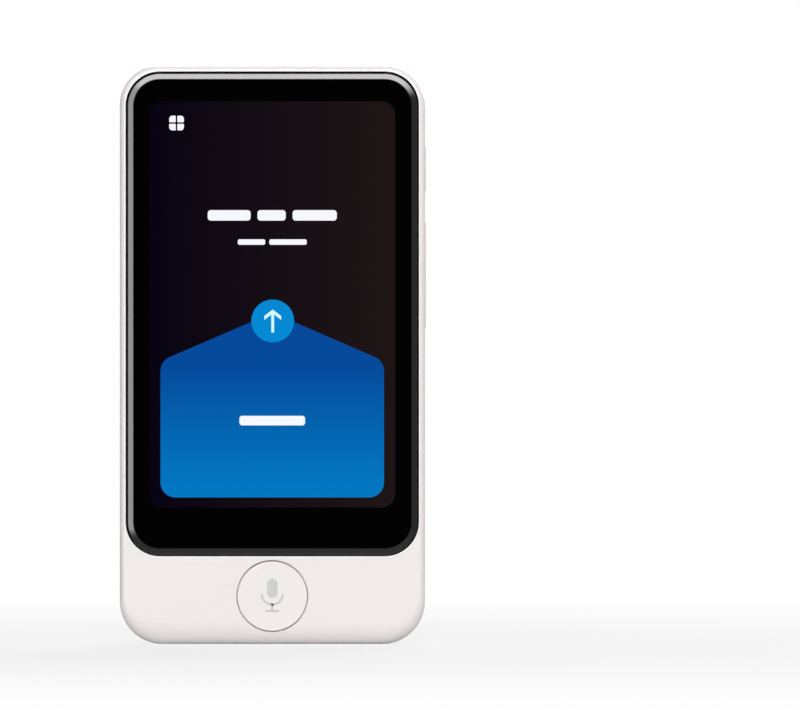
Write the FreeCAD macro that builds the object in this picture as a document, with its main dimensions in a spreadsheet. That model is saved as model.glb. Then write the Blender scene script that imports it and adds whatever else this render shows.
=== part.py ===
import FreeCAD, Part
import math
import os
from types import SimpleNamespace

import Sketcher
from FreeCAD import Placement, Rotation, Vector

# Handheld translator, standing on its lower edge.
# X runs to the right as the screen is read, Y from the screen to the back, Z up.
# The origin is the middle of the footprint on the surface it stands on.

DRIVING_SIZES = {
    # Outside of the unit
    "unit_width": 67.0,
    "unit_height": 127.0,
    "unit_depth": 11.5,
    "corner_low": 9.4,
    "corner_high": 8.7,
    "wall": 1.5,
    "past": 1.0,
    # Rounding of the back
    "back_curve_depth": 4.2,
    "back_side_inset": 5.8,
    "back_end_inset": 8.8,
    "back_corner": 4.0,
    "hollow_side_inset": 5.0,
    "hollow_end_inset": 7.6,
    "hollow_corner": 3.4,
    # Rounding of the front
    "front_rim_inset": 1.3,
    "front_foot_inset": 4.6,
    "front_corner_low": 6.5,
    "front_corner_high": 7.4,
    # Screen stack
    "glass_proud": 0.35,
    "glass_thick": 0.8,
    "glass_bevel": 1.2,
    "glass_bevel_depth": 0.3,
    "film_thick": 0.15,
    "panel_thick": 0.9,
    "backlight_thick": 0.9,
    "bezel_side": 1.35,
    "bezel_low": 19.3,
    "bezel_top": 1.4,
    "bezel_corner": 7.5,
    "bezel_rim": 0.45,
    "screen_open_side": 2.95,
    "screen_open_end": 2.2,
    "screen_open_corner": 4.0,
    "panel_side": 0.5,
    "panel_foot": 4.0,
    "panel_top": 1.4,
    "panel_corner": 3.0,
    "film_band": 1.2,
    # Inner frame
    "frame_thick": 0.7,
    "frame_side": 2.8,
    "frame_foot": 1.7,
    "frame_top": 2.8,
    "frame_corner": 6.0,
    "post_radius": 1.8,
    "post_edge": 4.5,
    "post_foot": 3.0,
    "post_drop": 8.0,
    "post_top_edge": 7.5,
    "post_camera_gap": 11.8,
    "screw_head": 1.3,
    "screw_head_tall": 0.45,
    "screw_shank": 0.7,
    "screw_length": 3.6,
    # Snap hooks of the front housing
    "hook_thick": 0.8,
    "hook_reach": 1.9,
    "hook_long": 4.0,
    "hook_tooth": 0.45,
    "hook_rise": 3.5,
    "hook_drop": 12.0,
    "hook_root": 0.5,
    # Talk button
    "talk_foot_gap": 2.66,
    "talk_top_gap": 0.84,
    "talk_groove": 0.3,
    "talk_travel": 0.3,
    "talk_flange_out": 0.6,
    "talk_flange_thick": 0.4,
    "talk_stem": 1.6,
    "chin_thick": 1.3,
    "chin_hollow_edge": 2.1,
    "chin_hollow_gap": 0.1,
    "chin_hollow_corner_low": 6.0,
    "chin_hollow_corner_high": 0.3,
    "dome_radius": 2.4,
    "dome_base_thick": 0.15,
    "slip": 0.05,
    # Lower circuit board
    "lower_board_thick": 0.8,
    "lower_board_side": 4.0,
    "lower_board_low": 2.6,
    "lower_board_gap": 0.5,
    "lower_board_corner": 6.5,
    "lower_post_edge": 7.5,
    "lower_post_drop": 6.3,
    # Charging socket
    "socket_wide": 8.94,
    "socket_thick": 3.2,
    "socket_wall": 0.3,
    "socket_setback": 0.3,
    "socket_deep": 7.7,
    "socket_play": 0.18,
    "tongue_wide": 6.7,
    "tongue_thick": 0.7,
    "tongue_setback": 1.6,
    "socket_back": 1.4,
    # Strap bar
    "strap_wide": 3.7,
    "strap_slot_low": 5.75,
    "strap_slot_high": 7.45,
    "strap_mouth_high": 3.9,
    "strap_tunnel_depth": 3.05,
    "strap_bar_depth": 1.85,
    "strap_mouth_depth": 0.85,
    "strap_boss": 1.2,
    # Main circuit board
    "board_front_gap": 0.8,
    "board_thick": 0.8,
    "board_side_left": 3.5,
    "board_side_right": 5.9,
    "board_drop": 36.0,
    "board_top": 4.0,
    "board_corner": 5.0,
    "board_edge": 1.0,
    "board_screw_left_edge": 1.8,
    "board_screw_rise": 2.4,
    "board_screw_right_edge": 2.2,
    "board_post_radius": 1.5,
    "post_hole_play": 0.12,
    "chip_wide": 10.0,
    "chip_thick": 1.0,
    "chip_drop": 21.5,
    "chip_gap": 1.0,
    "memory_wide": 8.0,
    "can_margin": 1.4,
    "can_thick": 0.2,
    "can_tall": 1.9,
    "pad_thick": 0.5,
    # Card tray and its reader
    "card_long": 12.3,
    "card_wide": 8.8,
    "card_thick": 0.67,
    "tray_drop": 24.0,
    "tray_rim": 0.9,
    "tray_thick": 0.95,
    "tray_head_thick": 0.8,
    "tray_head_margin": 0.5,
    "tray_play": 0.12,
    "tray_front_gap": 0.45,
    "reader_wall": 0.2,
    "reader_gap": 0.3,
    "eject_radius": 0.45,
    "eject_above": 6.9,
    "eject_long": 13.0,
    "lug_setback": 3.0,
    "lug_long": 6.0,
    "lug_wall": 0.35,
    "lever_thick": 0.6,
    "lever_half": 0.6,
    "lever_arm": 2.0,
    "lever_reach": 3.6,
    "lever_gap": 0.9,
    "pivot_radius": 0.4,
    "pivot_play": 0.04,
    # Camera and flash
    "camera_edge": 12.2,
    "camera_drop": 12.4,
    "window_radius": 3.55,
    "window_thick": 0.8,
    "camera_hole": 2.7,
    "camera_block": 8.5,
    "camera_block_tall": 2.6,
    "barrel_radius": 3.2,
    "barrel_bore": 2.3,
    "barrel_front_gap": 0.75,
    "lens_radius": 2.1,
    "lens_thick": 1.1,
    "lens_rise": 1.1,
    "lens_room": 0.3,
    "gasket_inner": 2.8,
    "flash_below": 7.4,
    "flash_radius": 1.7,
    "flash_head": 0.9,
    "flash_stem": 1.3,
    "flash_chip": 2.2,
    "flash_chip_thick": 0.7,
    "flash_gap": 0.3,
    # Battery
    "battery_side": 10.5,
    "battery_foot": 6.7,
    "battery_gap": 3.0,
    "battery_thick": 5.2,
    "battery_round": 1.5,
    "battery_edge": 1.2,
    "tape_thick": 0.15,
    "tape_margin": 3.0,
    "lead_inset": 3.5,
    "lead_wide": 3.4,
    "lead_thick": 0.25,
    "lead_land": 3.4,
    "plug_margin": 1.2,
    "plug_edge": 0.6,
    "plug_tall": 1.0,
    # Side keys
    "key_back": 2.45,
    "key_wide": 2.4,
    "key_play": 0.12,
    "key_proud": 0.2,
    "key_round": 0.35,
    "key_flange_thick": 0.5,
    "key_flange_gap": 0.4,
    "key_flange_out": 0.7,
    "key_nub": 0.55,
    "key_nub_wide": 1.2,
    "power_drop": 22.55,
    "power_long": 10.1,
    "volume_drop": 45.8,
    "volume_long": 23.6,
    "volume_nub_out": 7.6,
    "bracket_thick": 0.4,
    "key_strip_thick": 0.15,
    "switch_tall": 1.0,
    "switch_long": 3.2,
    "switch_gap": 0.35,
    "bracket_margin": 1.0,
    "rocker_rib": 0.55,
    "rib_post": 1.2,
    # Speakers and their grille holes
    "speaker_low": 28.0,
    "speaker_high": 50.0,
    "speaker_front_gap": 1.1,
    "speaker_deep": 2.7,
    "speaker_wide": 7.6,
    "speaker_wall": 0.5,
    "cone_thick": 0.3,
    "cone_setback": 1.6,
    "grille_radius": 0.6,
    "grille_pitch": 2.6,
    "grille_back": 1.8,
    # Microphones
    "mic_wide": 3.4,
    "mic_long": 2.7,
    "mic_thick": 1.0,
    "boot_extra": 0.3,
    "mic_hole": 0.35,
    "low_mic_right": 14.0,
    "top_mic_left": 7.0,
    # Vibration motor
    "motor_inset": 7.5,
    "motor_height": 12.0,
    "motor_radius": 4.0,
    "motor_deep": 2.7,
    "motor_wall": 0.25,
    "rotor_radius": 3.3,
    "rotor_thick": 1.2,
    "rotor_hub": 0.9,
    "shaft_radius": 0.35,
    "shaft_play": 0.04,
    # Flexible strips
    "strip_thick": 0.15,
    "screen_strip_left": 13.0,
    "screen_strip_wide": 7.0,
    "screen_strip_drop": 3.0,
    "screen_strip_back": 0.35,
    "strip_notch_play": 0.3,
    "screen_plug_drop": 6.0,
    "screen_plug_tall": 3.4,
    "link_edge": 7.1,
    "link_wide": 2.8,
    "link_drop": 4.2,
    "link_land": 3.0,
    "antenna_wide": 22.0,
    "antenna_drop": 29.0,
    "antenna_top": 12.0,
    "antenna_right": 8.0,
}
GRILLE_HOLES = 7
CURVE_STEPS = 6

doc = FreeCAD.newDocument("HandheldTranslator")
sheet = doc.addObject("Spreadsheet::Sheet", "Sizes")


class Measure:
    """A length in millimetres together with the sheet expression that gives it."""

    def __init__(self, value, text):
        self.value = float(value)
        self.text = text

    def joined(self, sign, other, swapped=False):
        other = as_measure(other)
        first, second = (other, self) if swapped else (self, other)
        results = {
            "+": lambda: first.value + second.value,
            "-": lambda: first.value - second.value,
            "*": lambda: first.value * second.value,
            "/": lambda: first.value / second.value,
        }
        return Measure(results[sign](), f"({first.text} {sign} {second.text})")

    def __add__(self, other):
        return self.joined("+", other)

    def __radd__(self, other):
        return self.joined("+", other, swapped=True)

    def __sub__(self, other):
        return self.joined("-", other)

    def __rsub__(self, other):
        return self.joined("-", other, swapped=True)

    def __mul__(self, other):
        return self.joined("*", other)

    def __rmul__(self, other):
        return self.joined("*", other, swapped=True)

    def __truediv__(self, other):
        return self.joined("/", other)

    def __neg__(self):
        return Measure(-self.value, f"(0 - {self.text})")


def as_measure(number):
    if isinstance(number, Measure):
        return number
    return Measure(number, f"{number:.6f}")


def fill_sheet():
    measures = {}
    for row, (name, value) in enumerate(DRIVING_SIZES.items(), start=1):
        sheet.set(f"A{row}", name)
        sheet.set(f"B{row}", str(value))
        sheet.setAlias(f"B{row}", name)
        measures[name] = Measure(value, f"Sizes.{name}")
    doc.recompute()
    return SimpleNamespace(**measures)


size = fill_sheet()
pieces = {}


def keep(label, item):
    """Give a finished piece its name and put it on the list of pieces."""
    item.Label = label
    pieces[label] = item
    return item


# Shapes bound to the sheet


def bind(item, name, measure):
    item.setExpression(name, as_measure(measure).text)


def put(item, corner):
    for axis, measure in zip("xyz", corner):
        bind(item, f"Placement.Base.{axis}", measure)


def block(name, across, deep, tall):
    """A box between two values on each axis."""
    item = doc.addObject("Part::Box", name)
    for side, span in zip(("Length", "Width", "Height"), (across, deep, tall)):
        bind(item, side, span[1] - as_measure(span[0]))
    put(item, (across[0], deep[0], tall[0]))
    return item


TURNS = {
    "x": Rotation(Vector(0, 1, 0), 90),
    "y": Rotation(Vector(1, 0, 0), -90),
    "z": Rotation(),
}


def rod(name, axis, centre, radius, span):
    """A cylinder along one axis, centred on the two other coordinates."""
    item = doc.addObject("Part::Cylinder", name)
    item.Placement = Placement(Vector(), TURNS[axis])
    bind(item, "Radius", radius)
    bind(item, "Height", span[1] - as_measure(span[0]))
    corner = list(centre)
    corner.insert("xyz".index(axis), span[0])
    put(item, corner)
    return item


def joined(name, items):
    if len(items) == 1:
        return items[0]
    item = doc.addObject("Part::MultiFuse", name)
    item.Shapes = list(items)
    return item


def without(name, base, tools):
    """The base with every tool taken away."""
    item = doc.addObject("Part::Cut", name)
    item.Base = base
    item.Tool = joined(f"{name}_tools", tools)
    return item


def group(name, items):
    """Separate solids that share one node."""
    item = doc.addObject("Part::Compound", name)
    item.Links = list(items)
    return item


def stadium(name, axis, centre, half_long, half_wide, span):
    """A flat bar with two round ends; its length runs along Z, or along X when the bar stands on Z."""
    flat = half_long - as_measure(half_wide)
    items = []
    for end, sign in (("start", -1), ("finish", 1)):
        if axis == "x":
            spot = (centre[0], centre[1] + flat * sign)
        else:
            spot = (centre[0] + flat * sign, centre[1])
        items.append(rod(f"{name}_{end}", axis, spot, half_wide, span))
    if axis == "x":
        deep = (centre[0] - half_wide, centre[0] + half_wide)
        tall = (centre[1] - flat, centre[1] + flat)
        items.append(block(f"{name}_bar", span, deep, tall))
    elif axis == "y":
        across = (centre[0] - flat, centre[0] + flat)
        tall = (centre[1] - half_wide, centre[1] + half_wide)
        items.append(block(f"{name}_bar", across, span, tall))
    else:
        across = (centre[0] - flat, centre[0] + flat)
        deep = (centre[1] - half_wide, centre[1] + half_wide)
        items.append(block(f"{name}_bar", across, deep, span))
    return joined(name, items)


def round_face_edges(name, base, axis, level, radius):
    """Round the edges of the base that lie in one plane."""
    doc.recompute()
    level = as_measure(level).value
    chosen = []
    for index, edge in enumerate(base.Shape.Edges, start=1):
        box = edge.BoundBox
        low = getattr(box, f"{axis}Min")
        high = getattr(box, f"{axis}Max")
        if abs(low - level) < 1e-4 and abs(high - level) < 1e-4:
            chosen.append((index, radius.value, radius.value))
    item = doc.addObject("Part::Fillet", name)
    item.Base = base
    item.Edges = chosen
    return item


# Sketched bodies


def new_body(name):
    return doc.addObject("PartDesign::Body", name)


def sketch_at(body, name, level, role="XZ_Plane"):
    """A sketch facing the front, at one depth; its X and Y are the part's X and Z."""
    sketch = body.newObject("Sketcher::SketchObject", name)
    plane = next(item for item in body.Origin.OriginFeatures if item.Role == role)
    sketch.AttachmentSupport = [(plane, "")]
    sketch.MapMode = "FlatFace"
    bind(sketch, "AttachmentOffset.Base.z", -as_measure(level))
    return sketch


def draw_rounded(sketch, outline, corner_low, corner_high):
    """A rectangle with tangent arcs: one radius for the two low corners, one for the high ones."""
    left, right, low, high = (as_measure(edge) for edge in outline)
    radius_low = as_measure(corner_low)
    radius_high = as_measure(corner_high)
    x0, x1, z0, z1 = left.value, right.value, low.value, high.value
    small, large = radius_low.value, radius_high.value
    corners = [
        (x1 - small, z0 + small, small, 270),
        (x1 - large, z1 - large, large, 0),
        (x0 + large, z1 - large, large, 90),
        (x0 + small, z0 + small, small, 180),
    ]
    runs = [
        (Vector(x0 + small, z0), Vector(x1 - small, z0)),
        (Vector(x1, z0 + small), Vector(x1, z1 - large)),
        (Vector(x1 - large, z1), Vector(x0 + large, z1)),
        (Vector(x0, z1 - large), Vector(x0, z0 + small)),
    ]
    shapes = []
    for run, (centre_x, centre_z, radius, start) in zip(runs, corners):
        circle = Part.Circle(Vector(centre_x, centre_z), Vector(0, 0, 1), radius)
        shapes.append(Part.LineSegment(*run))
        shapes.append(Part.ArcOfCircle(circle, math.radians(start), math.radians(start + 90)))
    first = sketch.GeometryCount
    sketch.addGeometry(shapes, False)
    count = len(shapes)
    for step in range(count):
        following = first + (step + 1) % count
        sketch.addConstraint(Sketcher.Constraint("Tangent", first + step, 2, following, 1))
    for step, kind in ((0, "Horizontal"), (2, "Vertical"), (4, "Horizontal"), (6, "Vertical")):
        sketch.addConstraint(Sketcher.Constraint(kind, first + step))
    places = (
        (0, "DistanceY", low),
        (2, "DistanceX", right),
        (4, "DistanceY", high),
        (6, "DistanceX", left),
    )
    for step, kind, measure in places:
        rule = Sketcher.Constraint(kind, -1, 1, first + step, 1, measure.value)
        bind(sketch, f"Constraints[{sketch.addConstraint(rule)}]", measure)
    for step, measure in ((1, radius_low), (7, radius_low), (3, radius_high), (5, radius_high)):
        rule = Sketcher.Constraint("Radius", first + step, measure.value)
        bind(sketch, f"Constraints[{sketch.addConstraint(rule)}]", measure)


def draw_circle(sketch, centre, radius):
    across, up, radius = (as_measure(value) for value in (*centre, radius))
    circle = Part.Circle(Vector(across.value, up.value), Vector(0, 0, 1), radius.value)
    index = sketch.addGeometry(circle, False)
    rules = (
        (Sketcher.Constraint("DistanceX", -1, 1, index, 3, across.value), across),
        (Sketcher.Constraint("DistanceY", -1, 1, index, 3, up.value), up),
        (Sketcher.Constraint("Radius", index, radius.value), radius),
    )
    for rule, measure in rules:
        bind(sketch, f"Constraints[{sketch.addConstraint(rule)}]", measure)


def pad(body, sketch, length):
    """Material from the sketch towards the front."""
    feature = body.newObject("PartDesign::Pad", f"{sketch.Name}_pad")
    feature.Profile = sketch
    bind(feature, "Length", length)
    return feature


def pocket(body, sketch, length):
    """A cut from the sketch towards the back."""
    feature = body.newObject("PartDesign::Pocket", f"{sketch.Name}_pocket")
    feature.Profile = sketch
    bind(feature, "Length", length)
    doc.recompute()
    return feature


def rounded_plate(name, outline, deep, corner_low, corner_high=None):
    """A plate with rounded corners between two depths."""
    body = new_body(name)
    sketch = sketch_at(body, f"{name}_outline", deep[1])
    draw_rounded(sketch, outline, corner_low, corner_low if corner_high is None else corner_high)
    pad(body, sketch, deep[1] - as_measure(deep[0]))
    return body


def rounded_pocket(body, name, outline, deep, corner):
    sketch = sketch_at(body, name, deep[0])
    draw_rounded(sketch, outline, corner, corner)
    return pocket(body, sketch, deep[1] - as_measure(deep[0]))


def swell(body, name, outline, start, depth, insets, corners_start, corners_end):
    """A loft that draws the outline in along a quarter of an ellipse as it leaves the start depth.

    The insets are for the sides, the low edge and the high edge at the far end.
    """
    left, right, low, high = outline
    sections = []
    for step in range(CURVE_STEPS + 1):
        turn = math.radians(90 * step / CURVE_STEPS)
        drawn = 1 - math.cos(turn)
        sketch = sketch_at(body, f"{name}_{step}", start + depth * math.sin(turn))
        edges = (
            left + insets[0] * drawn,
            right - insets[0] * drawn,
            low + insets[1] * drawn,
            high - insets[2] * drawn,
        )
        corner_low, corner_high = (
            first + (last - first) * drawn for first, last in zip(corners_start, corners_end)
        )
        draw_rounded(sketch, edges, corner_low, corner_high)
        sections.append(sketch)
    doc.recompute()
    loft = body.newObject("PartDesign::AdditiveLoft", f"{name}_loft")
    loft.Profile = sections[0]
    loft.Sections = sections[1:]
    return loft


# Levels from the screen to the back, and places that follow the outside

glass_face = -size.unit_depth / 2
back_face = size.unit_depth / 2
housing_face = glass_face + size.glass_proud
glass_rear = glass_face + size.glass_thick
film_rear = glass_rear + size.film_thick
panel_rear = film_rear + size.panel_thick
seam = panel_rear + size.backlight_thick
frame_rear = seam + size.frame_thick
chin_rear = housing_face + size.chin_thick
board_front = frame_rear + size.board_front_gap
board_rear = board_front + size.board_thick
lower_board_front = seam + size.slip
lower_board_rear = lower_board_front + size.lower_board_thick
belt = back_face - size.back_curve_depth
hollow_rear = back_face - size.wall

half_width = size.unit_width / 2
inner_side = half_width - size.wall
inner_top = size.unit_height - size.wall

bezel_half = half_width - size.bezel_side
bezel_high = size.unit_height - size.bezel_top
screen_half = bezel_half - size.screen_open_side
screen_low = size.bezel_low + size.screen_open_end
screen_high = bezel_high - size.screen_open_end
panel_half = screen_half - size.panel_side
panel_low = screen_low + size.panel_foot
panel_high = screen_high - size.panel_top
frame_half = half_width - size.frame_side
frame_low = size.bezel_low + size.frame_foot
frame_high = size.unit_height - size.frame_top

talk_opening = (size.bezel_low - size.talk_foot_gap - size.talk_top_gap) / 2
talk_radius = talk_opening - size.talk_groove
talk_height = size.talk_foot_gap + talk_opening
chin_half = half_width - size.chin_hollow_edge
chin_high = size.bezel_low - size.chin_hollow_gap
lower_board_half = half_width - size.lower_board_side
lower_board_high = size.bezel_low - size.lower_board_gap
lower_post_side = half_width - size.lower_post_edge
lower_post_height = lower_board_high - size.lower_post_drop

board_left = half_width - size.board_side_left
board_right = half_width - size.board_side_right
board_low = size.unit_height - size.board_drop
board_high = size.unit_height - size.board_top
board_screw_low = board_low + size.board_screw_rise
chip_height = size.unit_height - size.chip_drop
tray_height = size.unit_height - size.tray_drop
camera_spot = (half_width - size.camera_edge, size.unit_height - size.camera_drop)
flash_spot = (camera_spot[0], camera_spot[1] - size.flash_below)
battery_half = half_width - size.battery_side
battery_low = size.bezel_low + size.battery_foot
battery_high = board_low - size.battery_gap

key_line = seam + size.key_back
power_height = size.unit_height - size.power_drop
power_span = (power_height - size.power_long / 2, power_height + size.power_long / 2)
volume_height = size.unit_height - size.volume_drop
volume_span = (volume_height - size.volume_long / 2, volume_height + size.volume_long / 2)

post_side = half_width - size.post_edge
post_low = frame_low + size.post_foot
post_mid = (size.speaker_high + volume_span[0]) / 2
post_top = size.unit_height - size.post_drop
frame_posts = (
    (-post_side, post_low),
    (post_side, post_low),
    (-post_side, post_mid),
    (post_side, post_mid),
    (-half_width + size.post_top_edge, post_top),
    (camera_spot[0] - size.post_camera_gap, post_top + size.post_radius),
)
lower_posts = (
    (-lower_post_side, lower_post_height),
    (lower_post_side, lower_post_height),
)
board_posts = (
    (-board_left + size.board_screw_left_edge, board_screw_low),
    (board_right - size.board_screw_right_edge, board_screw_low),
)
tray_front = board_rear + size.tray_front_gap
tray_rear = tray_front + size.tray_thick
tray_half = size.card_wide / 2 + size.tray_rim
tray_end = -half_width + size.tray_head_thick + size.card_long + size.tray_rim * 2
eject_line = tray_height + size.eject_above
eject_depth = (tray_front + tray_rear) / 2
socket_line = lower_board_rear + size.socket_thick / 2
low_mic_spot = (size.low_mic_right, lower_board_rear + size.mic_thick / 2)
top_mic_spot = (-size.top_mic_left, board_rear + size.mic_thick / 2)


# Front housing: the white frame round the screen, with the chin and its hooks


def hook_blocks(name, grow):
    """The four snap hooks, or the recesses that take their teeth."""
    outer = inner_side - size.slip
    arms = []
    teeth = []
    for side in (-1, 1):
        for height in (size.speaker_high + size.hook_rise, size.unit_height - size.hook_drop):
            tall = (height - size.hook_long / 2 - grow, height + size.hook_long / 2 + grow)
            tip = seam + size.hook_reach
            arm = sorted((outer * side, (outer - size.hook_thick) * side), key=lambda edge: edge.value)
            tooth = sorted((outer * side, (outer + size.hook_tooth) * side), key=lambda edge: edge.value)
            arms.append(block(f"{name}_arm", arm, (seam - size.hook_root, tip), tall))
            deep = (tip - size.hook_thick - grow, tip + grow)
            teeth.append(block(f"{name}_tooth", tooth, deep, tall))
    return arms, teeth


def make_front_housing():
    body = new_body("front_housing_body")
    outline = (-half_width, half_width, as_measure(0), size.unit_height)
    insets = (size.front_rim_inset, size.front_foot_inset, size.front_rim_inset)
    start_corners = (size.corner_low, size.corner_high)
    end_corners = (size.front_corner_low, size.front_corner_high)
    swell(body, "front", outline, seam, housing_face - seam, insets, start_corners, end_corners)
    bezel = (-bezel_half, bezel_half, size.bezel_low, bezel_high)
    rounded_pocket(body, "bezel_seat", bezel, (glass_face, panel_rear), size.bezel_corner)
    screen = (-screen_half, screen_half, screen_low, screen_high)
    rounded_pocket(body, "screen_opening", screen, (glass_face, seam + size.past), size.screen_open_corner)
    chin = (-chin_half, chin_half, size.chin_hollow_edge, chin_high)
    hollow = sketch_at(body, "chin_hollow", chin_rear)
    draw_rounded(hollow, chin, size.chin_hollow_corner_low, size.chin_hollow_corner_high)
    pocket(body, hollow, seam + size.past - chin_rear)
    hole = sketch_at(body, "talk_hole", glass_face)
    draw_circle(hole, (0, talk_height), talk_opening)
    pocket(body, hole, seam + size.past - glass_face)
    strip_left = size.screen_strip_left - size.strip_notch_play
    strip_right = size.screen_strip_left + size.screen_strip_wide + size.strip_notch_play
    notch = block(
        "strip_notch",
        (strip_left, strip_right),
        (lower_board_front - size.screen_strip_back - size.strip_thick * 2, seam + size.past),
        (chin_high - size.past, screen_low + size.past),
    )
    arms, teeth = hook_blocks("hook", as_measure(0))
    solid = joined("front_with_hooks", [body, *arms, *teeth])
    keep("front_housing", without("front_housing", solid, [notch]))


# Rear cover: the deep shell with every opening in its walls


def key_opening(name, span):
    half = (span[1] - span[0]) / 2 + size.key_play
    centre = (key_line, (span[0] + span[1]) / 2)
    across = (inner_side - size.past, half_width + size.past)
    return stadium(name, "x", centre, half, size.key_wide / 2 + size.key_play, across)


def tray_openings():
    head_half = tray_half + size.tray_head_margin
    head_deep = (tray_front - size.tray_head_margin, tray_rear + size.tray_head_margin)
    play = size.tray_play
    recess = block(
        "tray_head_recess",
        (-half_width - size.past, -half_width + size.tray_head_thick + size.slip),
        (head_deep[0] - play, head_deep[1] + play),
        (tray_height - head_half - play, eject_line + size.eject_radius * 2 + play),
    )
    slot = block(
        "tray_slot",
        (-half_width - size.past, -inner_side + size.past),
        (tray_front - play, tray_rear + play),
        (tray_height - tray_half - play, tray_height + tray_half + play),
    )
    across = (-half_width - size.past, -inner_side + size.past)
    pin = rod("eject_hole", "x", (eject_depth, eject_line), size.eject_radius + play, across)
    return [recess, slot, pin]


def grille_holes():
    holes = []
    middle = (size.speaker_low + size.speaker_high) / 2
    for side in (-1, 1):
        for number in range(GRILLE_HOLES):
            height = middle + size.grille_pitch * (number - (GRILLE_HOLES - 1) / 2)
            ends = (half_width + size.past) * side, (inner_side - size.slip) * side
            across = sorted(ends, key=lambda edge: edge.value)
            spot = (frame_rear + size.grille_back, height)
            holes.append(rod("grille_hole", "x", spot, size.grille_radius, across))
    return holes


def strap_tunnel():
    half = size.strap_wide / 2
    across = (-half, half)
    front = back_face - size.strap_tunnel_depth
    beyond = back_face + size.past
    middle = (size.strap_slot_low + size.strap_slot_high) / 2
    slot_half = (size.strap_slot_high - size.strap_slot_low) / 2
    upper = stadium("strap_slot", "y", (as_measure(0), middle), half, slot_half, (front, beyond))
    passage_deep = (front, back_face - size.strap_bar_depth)
    passage = block("strap_passage", across, passage_deep, (as_measure(0), middle))
    mouth_deep = (front, back_face - size.strap_mouth_depth)
    mouth = block("strap_mouth", across, mouth_deep, (-size.past, size.strap_mouth_high))
    return [upper, passage, mouth]


def cover_bosses():
    bosses = []
    for spot in frame_posts:
        bosses.append(rod("frame_post", "y", spot, size.post_radius, (frame_rear, back_face)))
    for spot in lower_posts:
        bosses.append(rod("lower_post", "y", spot, size.post_radius, (lower_board_rear, back_face)))
    half = size.strap_wide / 2 + size.strap_boss
    deep = (back_face - size.strap_tunnel_depth - size.strap_boss, back_face)
    tall = (as_measure(0), size.strap_slot_high + size.strap_boss)
    bosses.append(block("strap_boss_block", (-half, half), deep, tall))
    return bosses


def screw_bores():
    bores = []
    for spot in frame_posts:
        deep = (frame_rear - size.slip, seam + size.screw_head_tall + size.screw_length + size.slip)
        bores.append(rod("frame_bore", "y", spot, size.screw_shank, deep))
    for spot in lower_posts:
        deep = (lower_board_rear - size.slip, lower_board_front + size.screw_length + size.slip)
        bores.append(rod("lower_bore", "y", spot, size.screw_shank, deep))
    return bores


def make_rear_cover():
    outer = new_body("rear_outer")
    outline = (-half_width, half_width, as_measure(0), size.unit_height)
    corners = (size.corner_low, size.corner_high)
    insets = (size.back_side_inset, size.back_end_inset, size.back_end_inset)
    far_corners = (size.back_corner, size.back_corner)
    swell(outer, "back", outline, belt, size.back_curve_depth, insets, corners, far_corners)
    wall_sketch = sketch_at(outer, "back_wall", belt)
    draw_rounded(wall_sketch, outline, *corners)
    pad(outer, wall_sketch, belt - seam)

    inner = new_body("rear_inner")
    outline = (-inner_side, inner_side, size.wall, inner_top)
    corners = (size.corner_low - size.wall, size.corner_high - size.wall)
    insets = (size.hollow_side_inset, size.hollow_end_inset, size.hollow_end_inset)
    far_corners = (size.hollow_corner, size.hollow_corner)
    swell(inner, "hollow", outline, belt, hollow_rear - belt, insets, corners, far_corners)
    hollow_sketch = sketch_at(inner, "hollow_wall", belt)
    draw_rounded(hollow_sketch, outline, *corners)
    pad(inner, hollow_sketch, belt - seam + size.past)

    hollow = without("rear_hollow", inner, cover_bosses())
    through = (hollow_rear - size.past, back_face + size.past)
    window_deep = (back_face - size.window_thick, back_face + size.past)
    flash_deep = (back_face - size.flash_head, back_face + size.past)
    play = size.socket_play
    socket = stadium(
        "socket_opening",
        "z",
        (as_measure(0), socket_line),
        size.socket_wide / 2 + play,
        size.socket_thick / 2 + play,
        (-size.past, size.wall + size.slip),
    )
    _, hook_recesses = hook_blocks("hook_recess", size.slip)
    top_wall = (inner_top - size.past, size.unit_height + size.past)
    openings = [
        hollow,
        rod("window_seat", "y", camera_spot, size.window_radius, window_deep),
        rod("camera_opening", "y", camera_spot, size.camera_hole, through),
        rod("flash_seat", "y", flash_spot, size.flash_radius, flash_deep),
        rod("flash_opening", "y", flash_spot, size.flash_stem, through),
        socket,
        key_opening("power_opening", power_span),
        key_opening("volume_opening", volume_span),
        rod("low_mic_hole", "z", low_mic_spot, size.mic_hole, (-size.past, size.wall + size.past)),
        rod("top_mic_hole", "z", top_mic_spot, size.mic_hole, top_wall),
        *tray_openings(),
        *grille_holes(),
        *strap_tunnel(),
        *screw_bores(),
        *hook_recesses,
    ]
    keep("rear_cover", without("rear_cover", outer, openings))


# Screen: rim, cover glass, adhesive, display panel and backlight


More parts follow.
